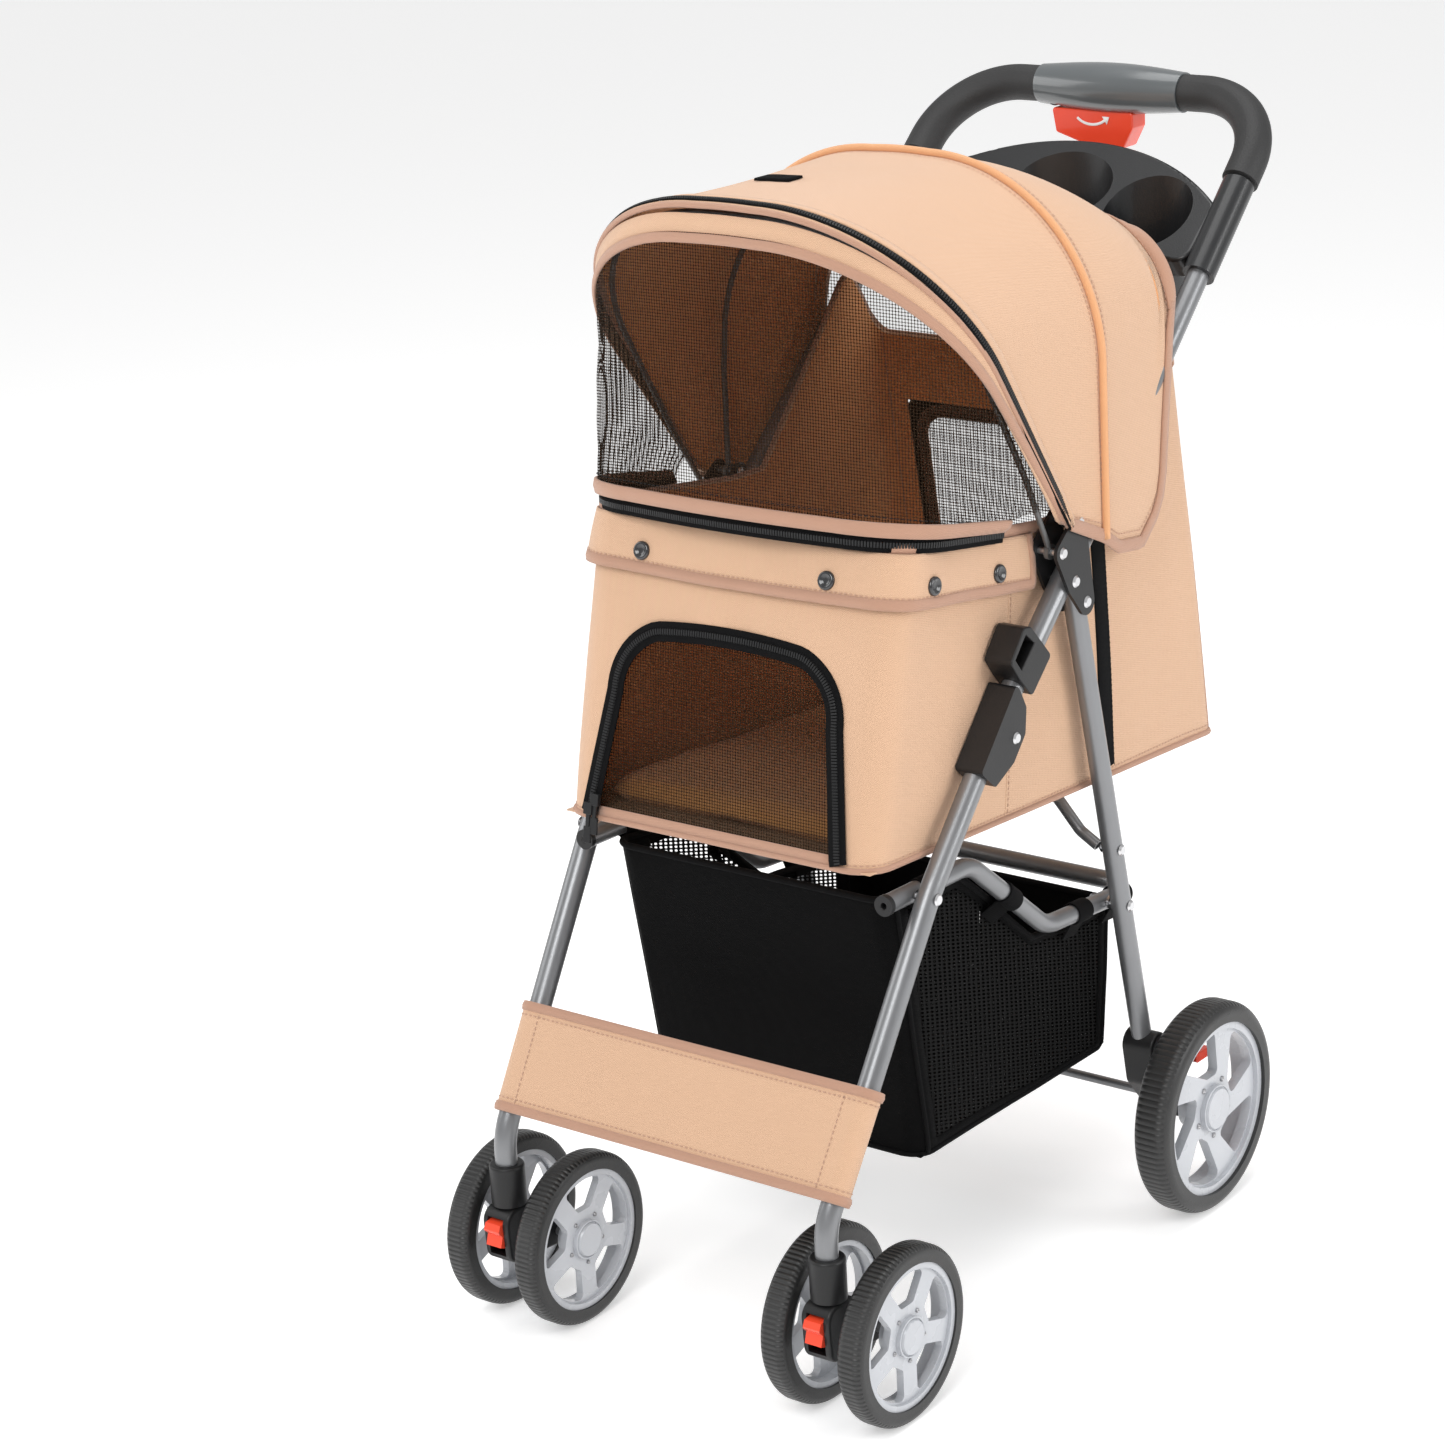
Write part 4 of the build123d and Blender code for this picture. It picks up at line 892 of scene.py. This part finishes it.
# ---- front door ----
door_path = [(-DOOR_LOW, 4.0)]
door_path += [(-door_half(s), s) for s in spread(8, DOOR_MID_S, 14)]
for i in range(1, 40):
    a = math.pi * i / 40
    x = -math.cos(a)
    half = DOOR_TOP_HALF + (DOOR_MID - DOOR_TOP_HALF)
    s = DOOR_MID_S + (DOOR_TOP_S - DOOR_MID_S) * math.sin(a) ** 0.9
    reach = DOOR_TOP_HALF * clamp(x / 0.4, -1, 1) + (DOOR_MID - DOOR_TOP_HALF) * x
    door_path.append((reach, s))
door_path += [(door_half(s), s) for s in reversed(spread(8, DOOR_MID_S, 14))]
door_path.append((DOOR_LOW, 4.0))


def face_surface(u, v):
    """The front face's plane, u from -1 to 1 over 150 mm and v over 258.5 mm, without the wall's slack."""
    return at(150 * u, 50 + 62 * v, 437 + 251 * v)


def face_line(path, offset):
    normal = Vector((0, -0.971, 0.240))
    return [face_surface(x / 150, s / 258.5) + normal * offset for x, s in path], [normal] * len(path)


def door_surface(u, v):
    s = lerp(4, DOOR_TOP_S, v)
    half = door_half(s) * 0.985
    point = face_surface(u * half / 150, s / 258.5)
    sag = 0.0016 * math.cos(u * math.pi / 2) * math.sin(math.pi * v)
    return point + Vector((0, 0.971, -0.240)) * (0.0006 + sag)


front_door = sheet_mesh("front_door_net", door_surface, spread(-1, 1, 45), spread(0, 1, 33), window_net, 0.0006)
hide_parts("front_door")
front_door_pieces = [front_door]
points, normals = face_line([(-120, 7), (120, 7)], 0.0008)
points = [points[0].lerp(points[1], t) for t in spread(0, 1, 20)]
front_door_pieces.append(tape("front_door_foot_binding", points, [normals[0]] * 20, 0.008, 0.0014, binding_cloth))
points, normals = face_line(door_path, 0.0026)
door_zip = zipper("front_door_zipper", points, normals, width=0.0165, lift=0.0002)
cabin_pieces.extend(door_zip)
for name, x, s in (("front_zip_pull_right", -123, 8), ("front_zip_pull_low", -117, 16)):
    place, normal = face_line([(x, s)], 0.004)
    zip_pull(name, place[0], normal[0], Vector((0, -0.2, -0.98)).normalized(), "handle_frame")


# ---- rear door ----
def rear_face(x, s, offset=0.0):
    lean = math.radians(9.1)
    return at(x, 575 - s * math.sin(lean), 398 + s * math.cos(lean)) + Vector(
        (0, math.cos(lean), math.sin(lean))) * (offset / 1000)


def rounded_loop(half, low, high, radius, count=10):
    loop = []
    for cx, cs, start in ((half - radius, low + radius, -90), (half - radius, high - radius, 0),
                          (-half + radius, high - radius, 90), (-half + radius, low + radius, 180)):
        for i in range(count + 1):
            a = math.radians(start + 90 * i / count)
            loop.append((cx + radius * math.cos(a), cs + radius * math.sin(a)))
    loop.append(loop[0])
    return loop


def rear_door_surface(u, v):
    sag = 1.8 * math.cos(u * math.pi / 2) * math.sin(math.pi * v)
    return rear_face(127 * u, lerp(15.5, 284.5, v), -1.2 - sag)


rear_door = sheet_mesh("rear_door_net", rear_door_surface, spread(-1, 1, 35), spread(0, 1, 41), window_net, 0.0006)
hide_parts("rear_door")
rear_normal = Vector((0, math.cos(math.radians(9.1)), math.sin(math.radians(9.1))))
rear_door_pieces = [rear_door]
loop = rounded_loop(119, 24, 277, 26)
rear_door_pieces.append(tape("rear_door_binding", [rear_face(x, s, 0.2) for x, s in loop], [rear_normal] * len(loop),
                             0.012, 0.0016, binding_cloth))
loop = rounded_loop(129, 14, 287, 30)
rear_zip = zipper("rear_door_zipper", [rear_face(x, s, 1.8) for x, s in loop], [rear_normal] * len(loop))
cabin_pieces.extend(rear_zip)
zip_pull("rear_zip_pull", rear_face(129, 262, 3.4), rear_normal, Vector((0, 0.1, -1)).normalized(), "handle_frame")


# ---- floor board and pad ----
def rounded_slab(name, x_half, y_low, y_high, lift, thick, radius, material, rings=5):
    """Soft slab on the cabin floor with rounded corners and a crowned top."""
    outline = rounded_loop(x_half, y_low, y_high, radius, 6)[:-1]
    centre = ((y_low + y_high) / 2)
    verts, faces = [], []
    levels = ((0.90, 0.0), (1.0, 0.25), (1.0, 0.7), (0.93, 0.98), (0.80, 1.0), (0.5, 1.0), (0.2, 1.0))
    for share, rise in levels:
        for x, y in outline:
            px = x * (share if share < 0.85 else 1 - (1 - share) * 0.35)
            py = centre + (y - centre) * (share if share < 0.85 else 1 - (1 - share) * 0.2)
            z = 440 - 0.0743 * (py - 54) + lift + rise * thick
            verts.append(at(px, py, z))
    n = len(outline)
    for j in range(len(levels) - 1):
        for i in range(n):
            faces.append((j * n + i, j * n + (i + 1) % n, (j + 1) * n + (i + 1) % n, (j + 1) * n + i))
    faces.append(tuple(range(n - 1, -1, -1)))
    faces.append(tuple((len(levels) - 1) * n + i for i in range(n)))
    return finish_mesh(name, verts, faces, material)


pad = rounded_slab("floor_cushion", 141, 74, 552, 6.0, 13.0, 24, pad_cloth)
pad.data.materials[0] = pad_cloth


def inflate(piece, voxel, pressure, cap):
    """Swells a closed piece by cloth simulation, with a limit on how far a point moves."""
    bpy.context.view_layer.objects.active = piece
    for other in bpy.context.selected_objects:
        other.select_set(False)
    piece.select_set(True)
    remesh = piece.modifiers.new("remesh", "REMESH")
    remesh.mode = "VOXEL"
    remesh.voxel_size = voxel
    remesh.use_smooth_shade = True
    bpy.ops.object.modifier_apply(modifier=remesh.name)
    rest = [v.co.copy() for v in piece.data.vertices]
    cloth = piece.modifiers.new("cloth", "CLOTH")
    cloth.settings.use_pressure = True
    cloth.settings.uniform_pressure_force = pressure
    cloth.settings.effector_weights.gravity = 0.0
    cloth.settings.quality = 5
    cloth.settings.tension_stiffness = 25
    cloth.settings.compression_stiffness = 25
    cloth.settings.bending_stiffness = 2.0
    cloth.point_cache.frame_start = 1
    cloth.point_cache.frame_end = 20
    scene = bpy.context.scene
    for step in range(1, 21):
        scene.frame_set(step)
    bpy.ops.object.modifier_apply(modifier=cloth.name)
    scene.frame_set(1)
    for vertex, start in zip(piece.data.vertices, rest):
        move = vertex.co - start
        if move.length > cap:
            vertex.co = start + move.normalized() * cap
    piece.data.update()


inflate(pad, 0.006, 3.0, 0.006)
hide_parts("floor_pad")
cabin_pieces.append(pad)

# tether strap inside the front, and the inner webbing strap
strap_points = []
for t in spread(0, 1, 30):
    strap_points.append(at(lerp(-20, 105, t), lerp(250, 190, t), 474 + 34 * t ** 2 + 7 * math.sin(t * 9)))
tether = tape("tether_strap", strap_points, [Vector((0, -0.5, 0.86))] * 30, 0.012, 0.0018, black_tape)
cabin_pieces.append(tether)
inner_web = []
for t in spread(0, 1, 40):
    inner_web.append(at(126 - 14 * t, 440 - 60 * t, 560 + 250 * t))
inner = tape("inner_webbing", inner_web, [Vector((-0.55, -0.83, 0))] * 40, 0.022, 0.0018, black_tape)
cabin_pieces.append(inner)

# ---- front panel between the legs ----
PANEL_LOW, PANEL_HIGH = (-32, 195.7), (16, 270)


def panel_surface(u, v):
    """Cloth stretched over both front legs, wrapped round each of them at its ends."""
    y = lerp(PANEL_LOW[0], PANEL_HIGH[0], v)
    z = lerp(PANEL_LOW[1], PANEL_HIGH[1], v)
    forward = Vector((0, -math.sin(math.radians(57)), math.cos(math.radians(57))))
    leg_x = lerp(165.9, 168.4, v)
    reach = 11.6
    flat_end = 0.86
    sign = 1 if u >= 0 else -1
    if abs(u) <= flat_end:
        t = abs(u) / flat_end
        x = t * leg_x
        sag = 2.6 * math.cos(t * math.pi / 2) * (0.4 + 0.6 * math.sin(math.pi * v))
        return at(sign * x, y, z) + forward * (reach - sag) / 1000
    turn = (abs(u) - flat_end) / (1 - flat_end) * math.radians(200)
    return at(sign * (leg_x + reach * math.sin(turn)), y, z) + forward * (reach * math.cos(turn)) / 1000


panel = sheet_mesh("front_panel_cloth", panel_surface, spread(-1, 1, 121), spread(0, 1, 25), beige, 0.0014)
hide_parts("front_panel")
panel_out = 1 if normal_of(panel_surface, 0.01, 0.5).y < 0 else -1
panel_pieces = [panel]
for name, v in (("top", 0.985), ("bottom", 0.015)):
    points, normals = on_surface(panel_surface, [(u, v) for u in spread(-0.99, 0.99, 141)], 0, panel_out)
    panel_pieces.append(tape("panel_" + name + "_binding", points, normals, 0.008, 0.0020, binding_cloth, crown=0.4))
for name, v in (("top", 0.90), ("bottom", 0.10)):
    points, normals = on_surface(panel_surface, [(u, v) for u in spread(-0.95, 0.95, 141)], 0, panel_out)
    panel_pieces.append(stitches("panel_" + name + "_stitches", points, normals, thread, lift=0.0008))
for side in (-1, 1):
    word = "left" if side > 0 else "right"
    points, normals = on_surface(panel_surface, [(side * 0.80, v) for v in spread(0.03, 0.97, 30)], 0, panel_out)
    panel_pieces.append(stitches("panel_side_stitches_" + word, points, normals, thread, lift=0.0008))

# ---- basket ----
BASKET_TOP = [(91, 400), (188, 392), (240, 350), (296, 298), (360, 290), (430, 285)]
BASKET_HALF = 139.5
BASKET_R = 20.0


def basket_perimeter(u):
    flat = BASKET_HALF - BASKET_R
    corner = BASKET_R * math.pi / 2
    side = 320 - 2 * BASKET_R
    total = 2 * flat + 2 * corner + side
    s = abs(u) * total
    if s < flat:
        return s, 0.0
    s -= flat
    if s < corner:
        a = s / BASKET_R
        return flat + BASKET_R * math.sin(a), BASKET_R * (1 - math.cos(a))
    s -= corner
    if s < side:
        return BASKET_HALF, BASKET_R + s
    s -= side
    if s < corner:
        a = s / BASKET_R
        return BASKET_HALF - BASKET_R * (1 - math.cos(a)), BASKET_R + side + BASKET_R * math.sin(a)
    return flat - (s - corner), 320.0


BASKET_TOTAL = 2 * (BASKET_HALF - BASKET_R) + BASKET_R * math.pi + 320 - 2 * BASKET_R


def basket_surface(u, v):
    """Hanging bag, v 0 at the bottom and 1 at the rim; its walls hang slack and its floor rounds in."""
    x, back = basket_perimeter(u)
    share = back / 320
    y_high = lerp(92, 430, share)
    z_high = along_points(BASKET_TOP, y_high)
    y_low = lerp(131, 418, share)
    z_low = 156 - 4 * share
    sign = 1 if u >= 0 else -1
    tuck = clamp(v / 0.06) if v < 0.06 else 1.0
    shrink = 1 - 0.035 * (1 - math.sqrt(max(0.0, 1 - (1 - tuck) ** 2)))
    sag = math.sin(math.pi * v)
    wave = noise.noise(Vector((u * 6.0, v * 2.2, 4.0))) * 3.0 * sag
    inward = 3.0 * sag * math.sin(math.pi * clamp(share))
    px = (x * (1 - 0.02 * (1 - v)) - inward * 0.6 + wave * 0.5) * shrink
    y = lerp(y_low, y_high, v)
    out = -1 if share < 0.5 else 1
    if back < 1 or back > 319:
        y += out * wave * 0.6 + (2.2 * sag if share < 0.5 else -2.2 * sag)
    z = lerp(z_low, z_high, v) - (2.5 * math.sin(math.pi * 3 * clamp(share)) ** 2 * v ** 6)
    return at(sign * px, y, z)


def basket_net_zone(u, v):
    start = (BASKET_HALF - BASKET_R + BASKET_R * math.pi / 2 + 6) / BASKET_TOTAL
    end = 1 - (BASKET_HALF - BASKET_R + BASKET_R * math.pi / 2 + 2) / BASKET_TOTAL
    return start < abs(u) < end and 0.07 < v < 0.93


basket_us = spread(-1, 1, 181)
basket_vs = spread(0, 1, 36)
basket = sheet_mesh("basket_cloth", basket_surface, basket_us, basket_vs, black_cloth, 0.0014,
                    keep=lambda u, v: not basket_net_zone(u, v))
basket_sides = sheet_mesh("basket_side_net", basket_surface, basket_us, basket_vs, basket_net, 0.0006,
                          keep=basket_net_zone)
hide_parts("basket")


def basket_floor_surface(u, v):
    x = u * (BASKET_HALF - 6)
    y = lerp(133, 416, v)
    dip = 3.2 * math.cos(u * math.pi / 2) * math.sin(math.pi * v)
    return at(x, y, 156.5 - 4 * v - dip + 1.2)


basket_floor = sheet_mesh("basket_floor_cloth", basket_floor_surface, spread(-1, 1, 25), spread(0, 1, 25),
                          black_cloth, 0.0014)
basket_pieces = [basket, basket_sides, basket_floor]
basket_out = 1 if normal_of(basket_surface, 0.02, 0.5).y < 0 else -1
for name, v, radius in (("rim", 0.992, 0.0030), ("foot", 0.012, 0.0022)):
    points, normals = on_surface(basket_surface, [(u, v) for u in spread(-0.9995, 0.9995, 260)], 0, basket_out)
    basket_pieces.append(cord_mesh("basket_" + name + "_piping", points, normals, radius, black_tape, lift=0.0006))
for side in (-1, 1):
    word = "left" if side > 0 else "right"
    for name, place in (("front", (BASKET_HALF - BASKET_R + BASKET_R * 1.2) / BASKET_TOTAL),
                        ("rear", 1 - (BASKET_HALF - BASKET_R + BASKET_R * 1.1) / BASKET_TOTAL)):
        points, normals = on_surface(basket_surface, [(side * place, v) for v in spread(0.01, 0.99, 40)], 0,
                                     basket_out)
        basket_pieces.append(cord_mesh(f"basket_{name}_corner_{word}", points, normals, 0.0022, black_tape,
                                       lift=0.0008))


def loop_strap(name, centre, direction, tube_radius, width, body, hang, material=black_tape):
    """Fabric loop round a tube, its two ends sewn together below."""
    axis = direction.normalized()
    down = (hang - axis * hang.dot(axis)).normalized()
    side = axis.cross(down)
    radius = tube_radius + 0.0006
    points, normals = [], []
    for t in spread(-0.86, 0.86, 33):
        a = math.pi * t
        out = -down * math.cos(a) + side * math.sin(a)
        points.append(centre + out * radius)
        normals.append(out)
    tail = points[-1] + down * 0.018
    points.append(tail)
    normals.append(side)
    points.insert(0, points[0] + down * 0.018)
    normals.insert(0, -side)
    return tape(name, points, normals, width, 0.0012, material, body=body)


for side in (-1, 1):
    word = "left" if side > 0 else "right"
    for i, (a, b, t) in enumerate((((100, 403), (190, 400), 0.3), ((190, 400), (300, 308), 0.5),
                                   ((300, 308), (446, 294), 0.35), ((300, 308), (446, 294), 0.78))):
        y, z = lerp(a[0], b[0], t), lerp(a[1], b[1], t)
        direction = Vector((0, b[0] - a[0], b[1] - a[1]))
        basket_pieces.append(loop_strap(f"basket_loop_{word}_{i}", at(side * 152, y, z), direction, 0.008, 0.022,
                                        None, Vector((-side * 0.55, 0, -1))))
    handle_y, handle_z = lerp(215, 680, 0.30), lerp(527, 943, 0.30)

# ---- tray flap: cloth that ties the hood to the tray ----
def flap_surface(u, v):
    """From the hood's rear edge back over the tray's front rim, hanging into its middle well."""
    x = lerp(-56, 44, (u + 1) / 2) * (1 - 0.10 * v)
    y = lerp(473, 566, v)
    z = along_points([(0, 896), (0.35, 882), (0.7, 852), (0.86, 853), (1, 842)], v) - 0.004 * abs(x) ** 1.5 * (1 - v)
    wave = 2.2 * math.sin(u * 5.5 + 0.6) * math.sin(math.pi * v)
    return at(x, y, z + wave)


flap = sheet_mesh("tray_flap", flap_surface, spread(-1, 1, 21), spread(0, 1, 29), beige, 0.0014)
rear_pieces.append(flap)

# ---- wheels: screws and cap rings ----
wheels = []
for word, sign in (("left", 1), ("right", -1)):
    wheels.append((f"rear_rim_{word}", f"rear_wheel_{word}", sign, 0.0265, 0.0026, 0.019))
    wheels.append((f"front_rim_outer_{word}", f"front_wheel_outer_{word}", sign, 0.0215, 0.0019, 0.015))
    wheels.append((f"front_rim_inner_{word}", f"front_wheel_inner_{word}", -sign, 0.0215, 0.0019, 0.015))
for rim_name, body, face, screw_circle, screw_radius, cap_radius in wheels:
    low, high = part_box(rim_name)
    centre = (low + high) / 2
    out = Vector((face, 0, 0))
    web_x = (high.x if face > 0 else low.x) - face * 0.0024
    thick = high.x - low.x - 0.0024
    face_x = web_x - face * thick * 0.15
    verts, faces = [], []
    for i in range(5):
        a = math.radians(54 + 72 * i)
        place = Vector((face_x, centre.y + screw_circle * math.cos(a), centre.z + screw_circle * math.sin(a)))
        screw = dome(f"{rim_name}_screw_{i}", place, out, screw_radius, 0.0016, screw_steel, body, sides=12, dent=0.3)
    ring_points = []
    for i in range(49):
        a = 2 * math.pi * i / 48
        ring_points.append(Vector((web_x + face * 0.0003, centre.y + cap_radius * 1.09 * math.cos(a),
                                   centre.z + cap_radius * 1.09 * math.sin(a))))
    cord_mesh(f"{rim_name}_cap_ring", ring_points, [out] * 49, 0.0009, rim_plastic, body)

# ---- trigger arrow ----
low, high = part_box("release_trigger")
arrow_y = low.y - 0.0004
arrow_z = high.z - 0.0085
arrow_x = (low.x + high.x) / 2
arc = []
for t in spread(0, 1, 24):
    a = math.radians(lerp(215, 318, t))
    arc.append(Vector((arrow_x + 0.018 * math.cos(a), arrow_y, arrow_z + 0.0085 + 0.016 * math.sin(a) * 0.8)))
tape("trigger_arrow_line", arc, [Vector((0, -1, 0))] * 24, 0.0024, 0.0004, white_mark, body="trigger")
tip, ahead = arc[-1], (arc[-1] - arc[-3]).normalized()
side_way = Vector((-ahead.z, 0, ahead.x))
head = [tip + ahead * 0.006, tip + side_way * 0.0042, tip - side_way * 0.0042]
head += [p + Vector((0, -0.0004, 0)) for p in head]
finish_mesh("trigger_arrow_head", head, [(0, 1, 2), (5, 4, 3), (0, 3, 4, 1), (1, 4, 5, 2), (2, 5, 3, 0)], white_mark,
            "trigger")

# ---- materials of the carried CAD nodes ----
CARRIED = {
    silver_tube: ("handle_tube", "front_leg_left", "front_leg_right", "rear_leg_left", "rear_leg_right",
                  "basket_tube", "cabin_support_bar", "rear_axle", "caster_axle_left", "caster_axle_right"),
    rivet_steel: ("bracket_rivets", "front_frame_rivets", "rear_frame_rivets"),
    black_plastic: ("rear_wheel_housings", "caster_sockets", "caster_fork_left", "caster_fork_right",
                    "latch_housings", "hinge_tangs", "hinge_brackets", "latch_loop_left", "latch_loop_right",
                    "basket_tube_caps"),
    red_plastic: ("brake_pedal_left", "brake_pedal_right", "caster_lock_lever_left", "caster_lock_lever_right",
                  "release_trigger"),
    tray_plastic: ("parent_tray",),
    foam: ("grip_foams",),
    grip_plastic: ("grip_shell_upper", "grip_shell_lower"),
    rim_plastic: tuple(name for name, *_ in wheels),
    cable_steel: ("release_cables",),
    bow_steel: ("front_bow", "rear_bow"),
    board_fibre: ("floor_board",),
}
for material, names in CARRIED.items():
    for name in names:
        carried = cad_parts[name]
        carried.data.materials.clear()
        carried.data.materials.append(material)
for name, radius in [(f"rear_tyre_{w}", 0.095) for w in ("left", "right")] + [
        (f"front_tyre_{p}_{w}", 0.075) for p in ("inner", "outer") for w in ("left", "right")]:
    low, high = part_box(name)
    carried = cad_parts[name]
    carried.data.materials.clear()
    carried.data.materials.append(tread_rubber("tread_" + name, (low + high) / 2, radius))


def soften(name, width, segments=2, angle=35):
    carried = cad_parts[name]
    bevel = carried.modifiers.new("edges", "BEVEL")
    bevel.width = width
    bevel.segments = segments
    bevel.limit_method = "ANGLE"
    bevel.angle_limit = math.radians(angle)
    for polygon in carried.data.polygons:
        polygon.use_smooth = True
    carried.modifiers.new("shading", "WEIGHTED_NORMAL")


for name in ("latch_housings", "latch_loop_left", "latch_loop_right"):
    soften(name, 0.0028, 4, 50)
for name in ("hinge_brackets", "rear_wheel_housings",
             "caster_fork_left", "caster_fork_right", "parent_tray", "brake_pedal_left", "brake_pedal_right",
             "caster_lock_lever_left", "caster_lock_lever_right"):
    soften(name, 0.0009)
soften("release_trigger", 0.002, 3)
for name, *_ in wheels:
    soften(name, 0.0007)

# ---- riding: pieces parented to their bodies, the blend pieces baked in place ----
for piece in cabin_pieces + cabin_rim_pieces:
    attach(piece, "handle_frame")
for piece in hood_front_pieces:
    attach(piece, "hood_front_half")
for piece in rear_pieces:
    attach(piece, "handle_frame")
for piece in hood_blend_pieces:
    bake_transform(piece)
for piece in window_blend_pieces:
    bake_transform(piece)
for piece in front_door_pieces:
    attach(piece, "front_flap")
for piece in rear_door_pieces:
    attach(piece, "rear_flap")
for piece in panel_pieces:
    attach(piece, "front_frame")
for piece in basket_pieces:
    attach(piece, "basket_frame")
for piece in basket_pieces:
    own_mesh(piece)

# ---- camera, light, floor ----
camera_data = bpy.data.cameras.new("camera")
camera = bpy.data.objects.new("camera", camera_data)
bpy.context.scene.collection.objects.link(camera)
bpy.context.scene.camera = camera
YAW, PITCH, ROLL = (math.radians(a) for a in (38.36, 18.74, -3.26))
back = Vector((math.sin(YAW) * math.cos(PITCH), -math.cos(YAW) * math.cos(PITCH), math.sin(PITCH)))
right = (-back).cross(Vector((0, 0, 1))).normalized()
upward = right.cross(-back)
x_axis = math.cos(ROLL) * right + math.sin(ROLL) * upward
y_axis = -math.sin(ROLL) * right + math.cos(ROLL) * upward
camera.matrix_world = Matrix.Translation(at(1785.9, -2184.4, 1509.0)) @ Matrix(
    (x_axis, y_axis, back)).transposed().to_4x4()
camera_data.sensor_width = 36
camera_data.lens = 94.71
camera_data.clip_end = 50


def area_light(name, place, target, size, power, colour=(1, 1, 1)):
    data = bpy.data.lights.new(name, "AREA")
    data.size = size
    data.energy = power
    data.color = colour
    light = bpy.data.objects.new(name, data)
    bpy.context.scene.collection.objects.link(light)
    light.location = place
    light.rotation_euler = (Vector(target) - Vector(place)).to_track_quat("-Z", "Y").to_euler()
    return light


area_light("key", (0.6, -2.6, 2.6), (0, 0, 0.5), 1.6, 54)
area_light("fill", (-2.6, -1.2, 1.8), (0, 0, 0.5), 1.8, 24)
area_light("side", (2.8, 0.6, 1.6), (0, 0, 0.5), 1.4, 34)
area_light("top", (0, 0.4, 3.0), (0, 0, 0.4), 1.8, 28)
world = bpy.data.worlds.new("studio")
bpy.context.scene.world = world
world.use_nodes = True
world.node_tree.nodes["Background"].inputs["Color"].default_value = (1, 1, 1, 1)
world_tree = world.node_tree
world_tree.nodes["Background"].inputs["Strength"].default_value = 0.52
seen = world_tree.nodes.new("ShaderNodeBackground")
seen.inputs["Color"].default_value = (1, 1, 1, 1)
seen.inputs["Strength"].default_value = 1.0
rays = world_tree.nodes.new("ShaderNodeLightPath")
choice = world_tree.nodes.new("ShaderNodeMixShader")
world_tree.links.new(rays.outputs["Is Camera Ray"], choice.inputs[0])
world_tree.links.new(world_tree.nodes["Background"].outputs[0], choice.inputs[1])
world_tree.links.new(seen.outputs[0], choice.inputs[2])
world_tree.links.new(choice.outputs[0], world_tree.nodes["World Output"].inputs["Surface"])
bpy.context.scene.view_settings.view_transform = "Standard"

floor_mesh = bpy.data.meshes.new("floor")
floor_mesh.from_pydata([(-12, -12, 0), (12, -12, 0), (12, 12, 0), (-12, 12, 0)], [], [(0, 1, 2, 3)])
floor_material, floor_tree, floor_shader = new_material("studio_floor")
floor_shader.inputs["Base Color"].default_value = (0.92, 0.92, 0.92, 1)
floor_shader.inputs["Roughness"].default_value = 0.55
floor_shader.inputs["Emission Color"].default_value = (1, 1, 1, 1)
floor_shader.inputs["Emission Strength"].default_value = 0.38
floor_mesh.materials.append(floor_material)
floor = bpy.data.objects.new("floor", floor_mesh)
bpy.context.scene.collection.objects.link(floor)
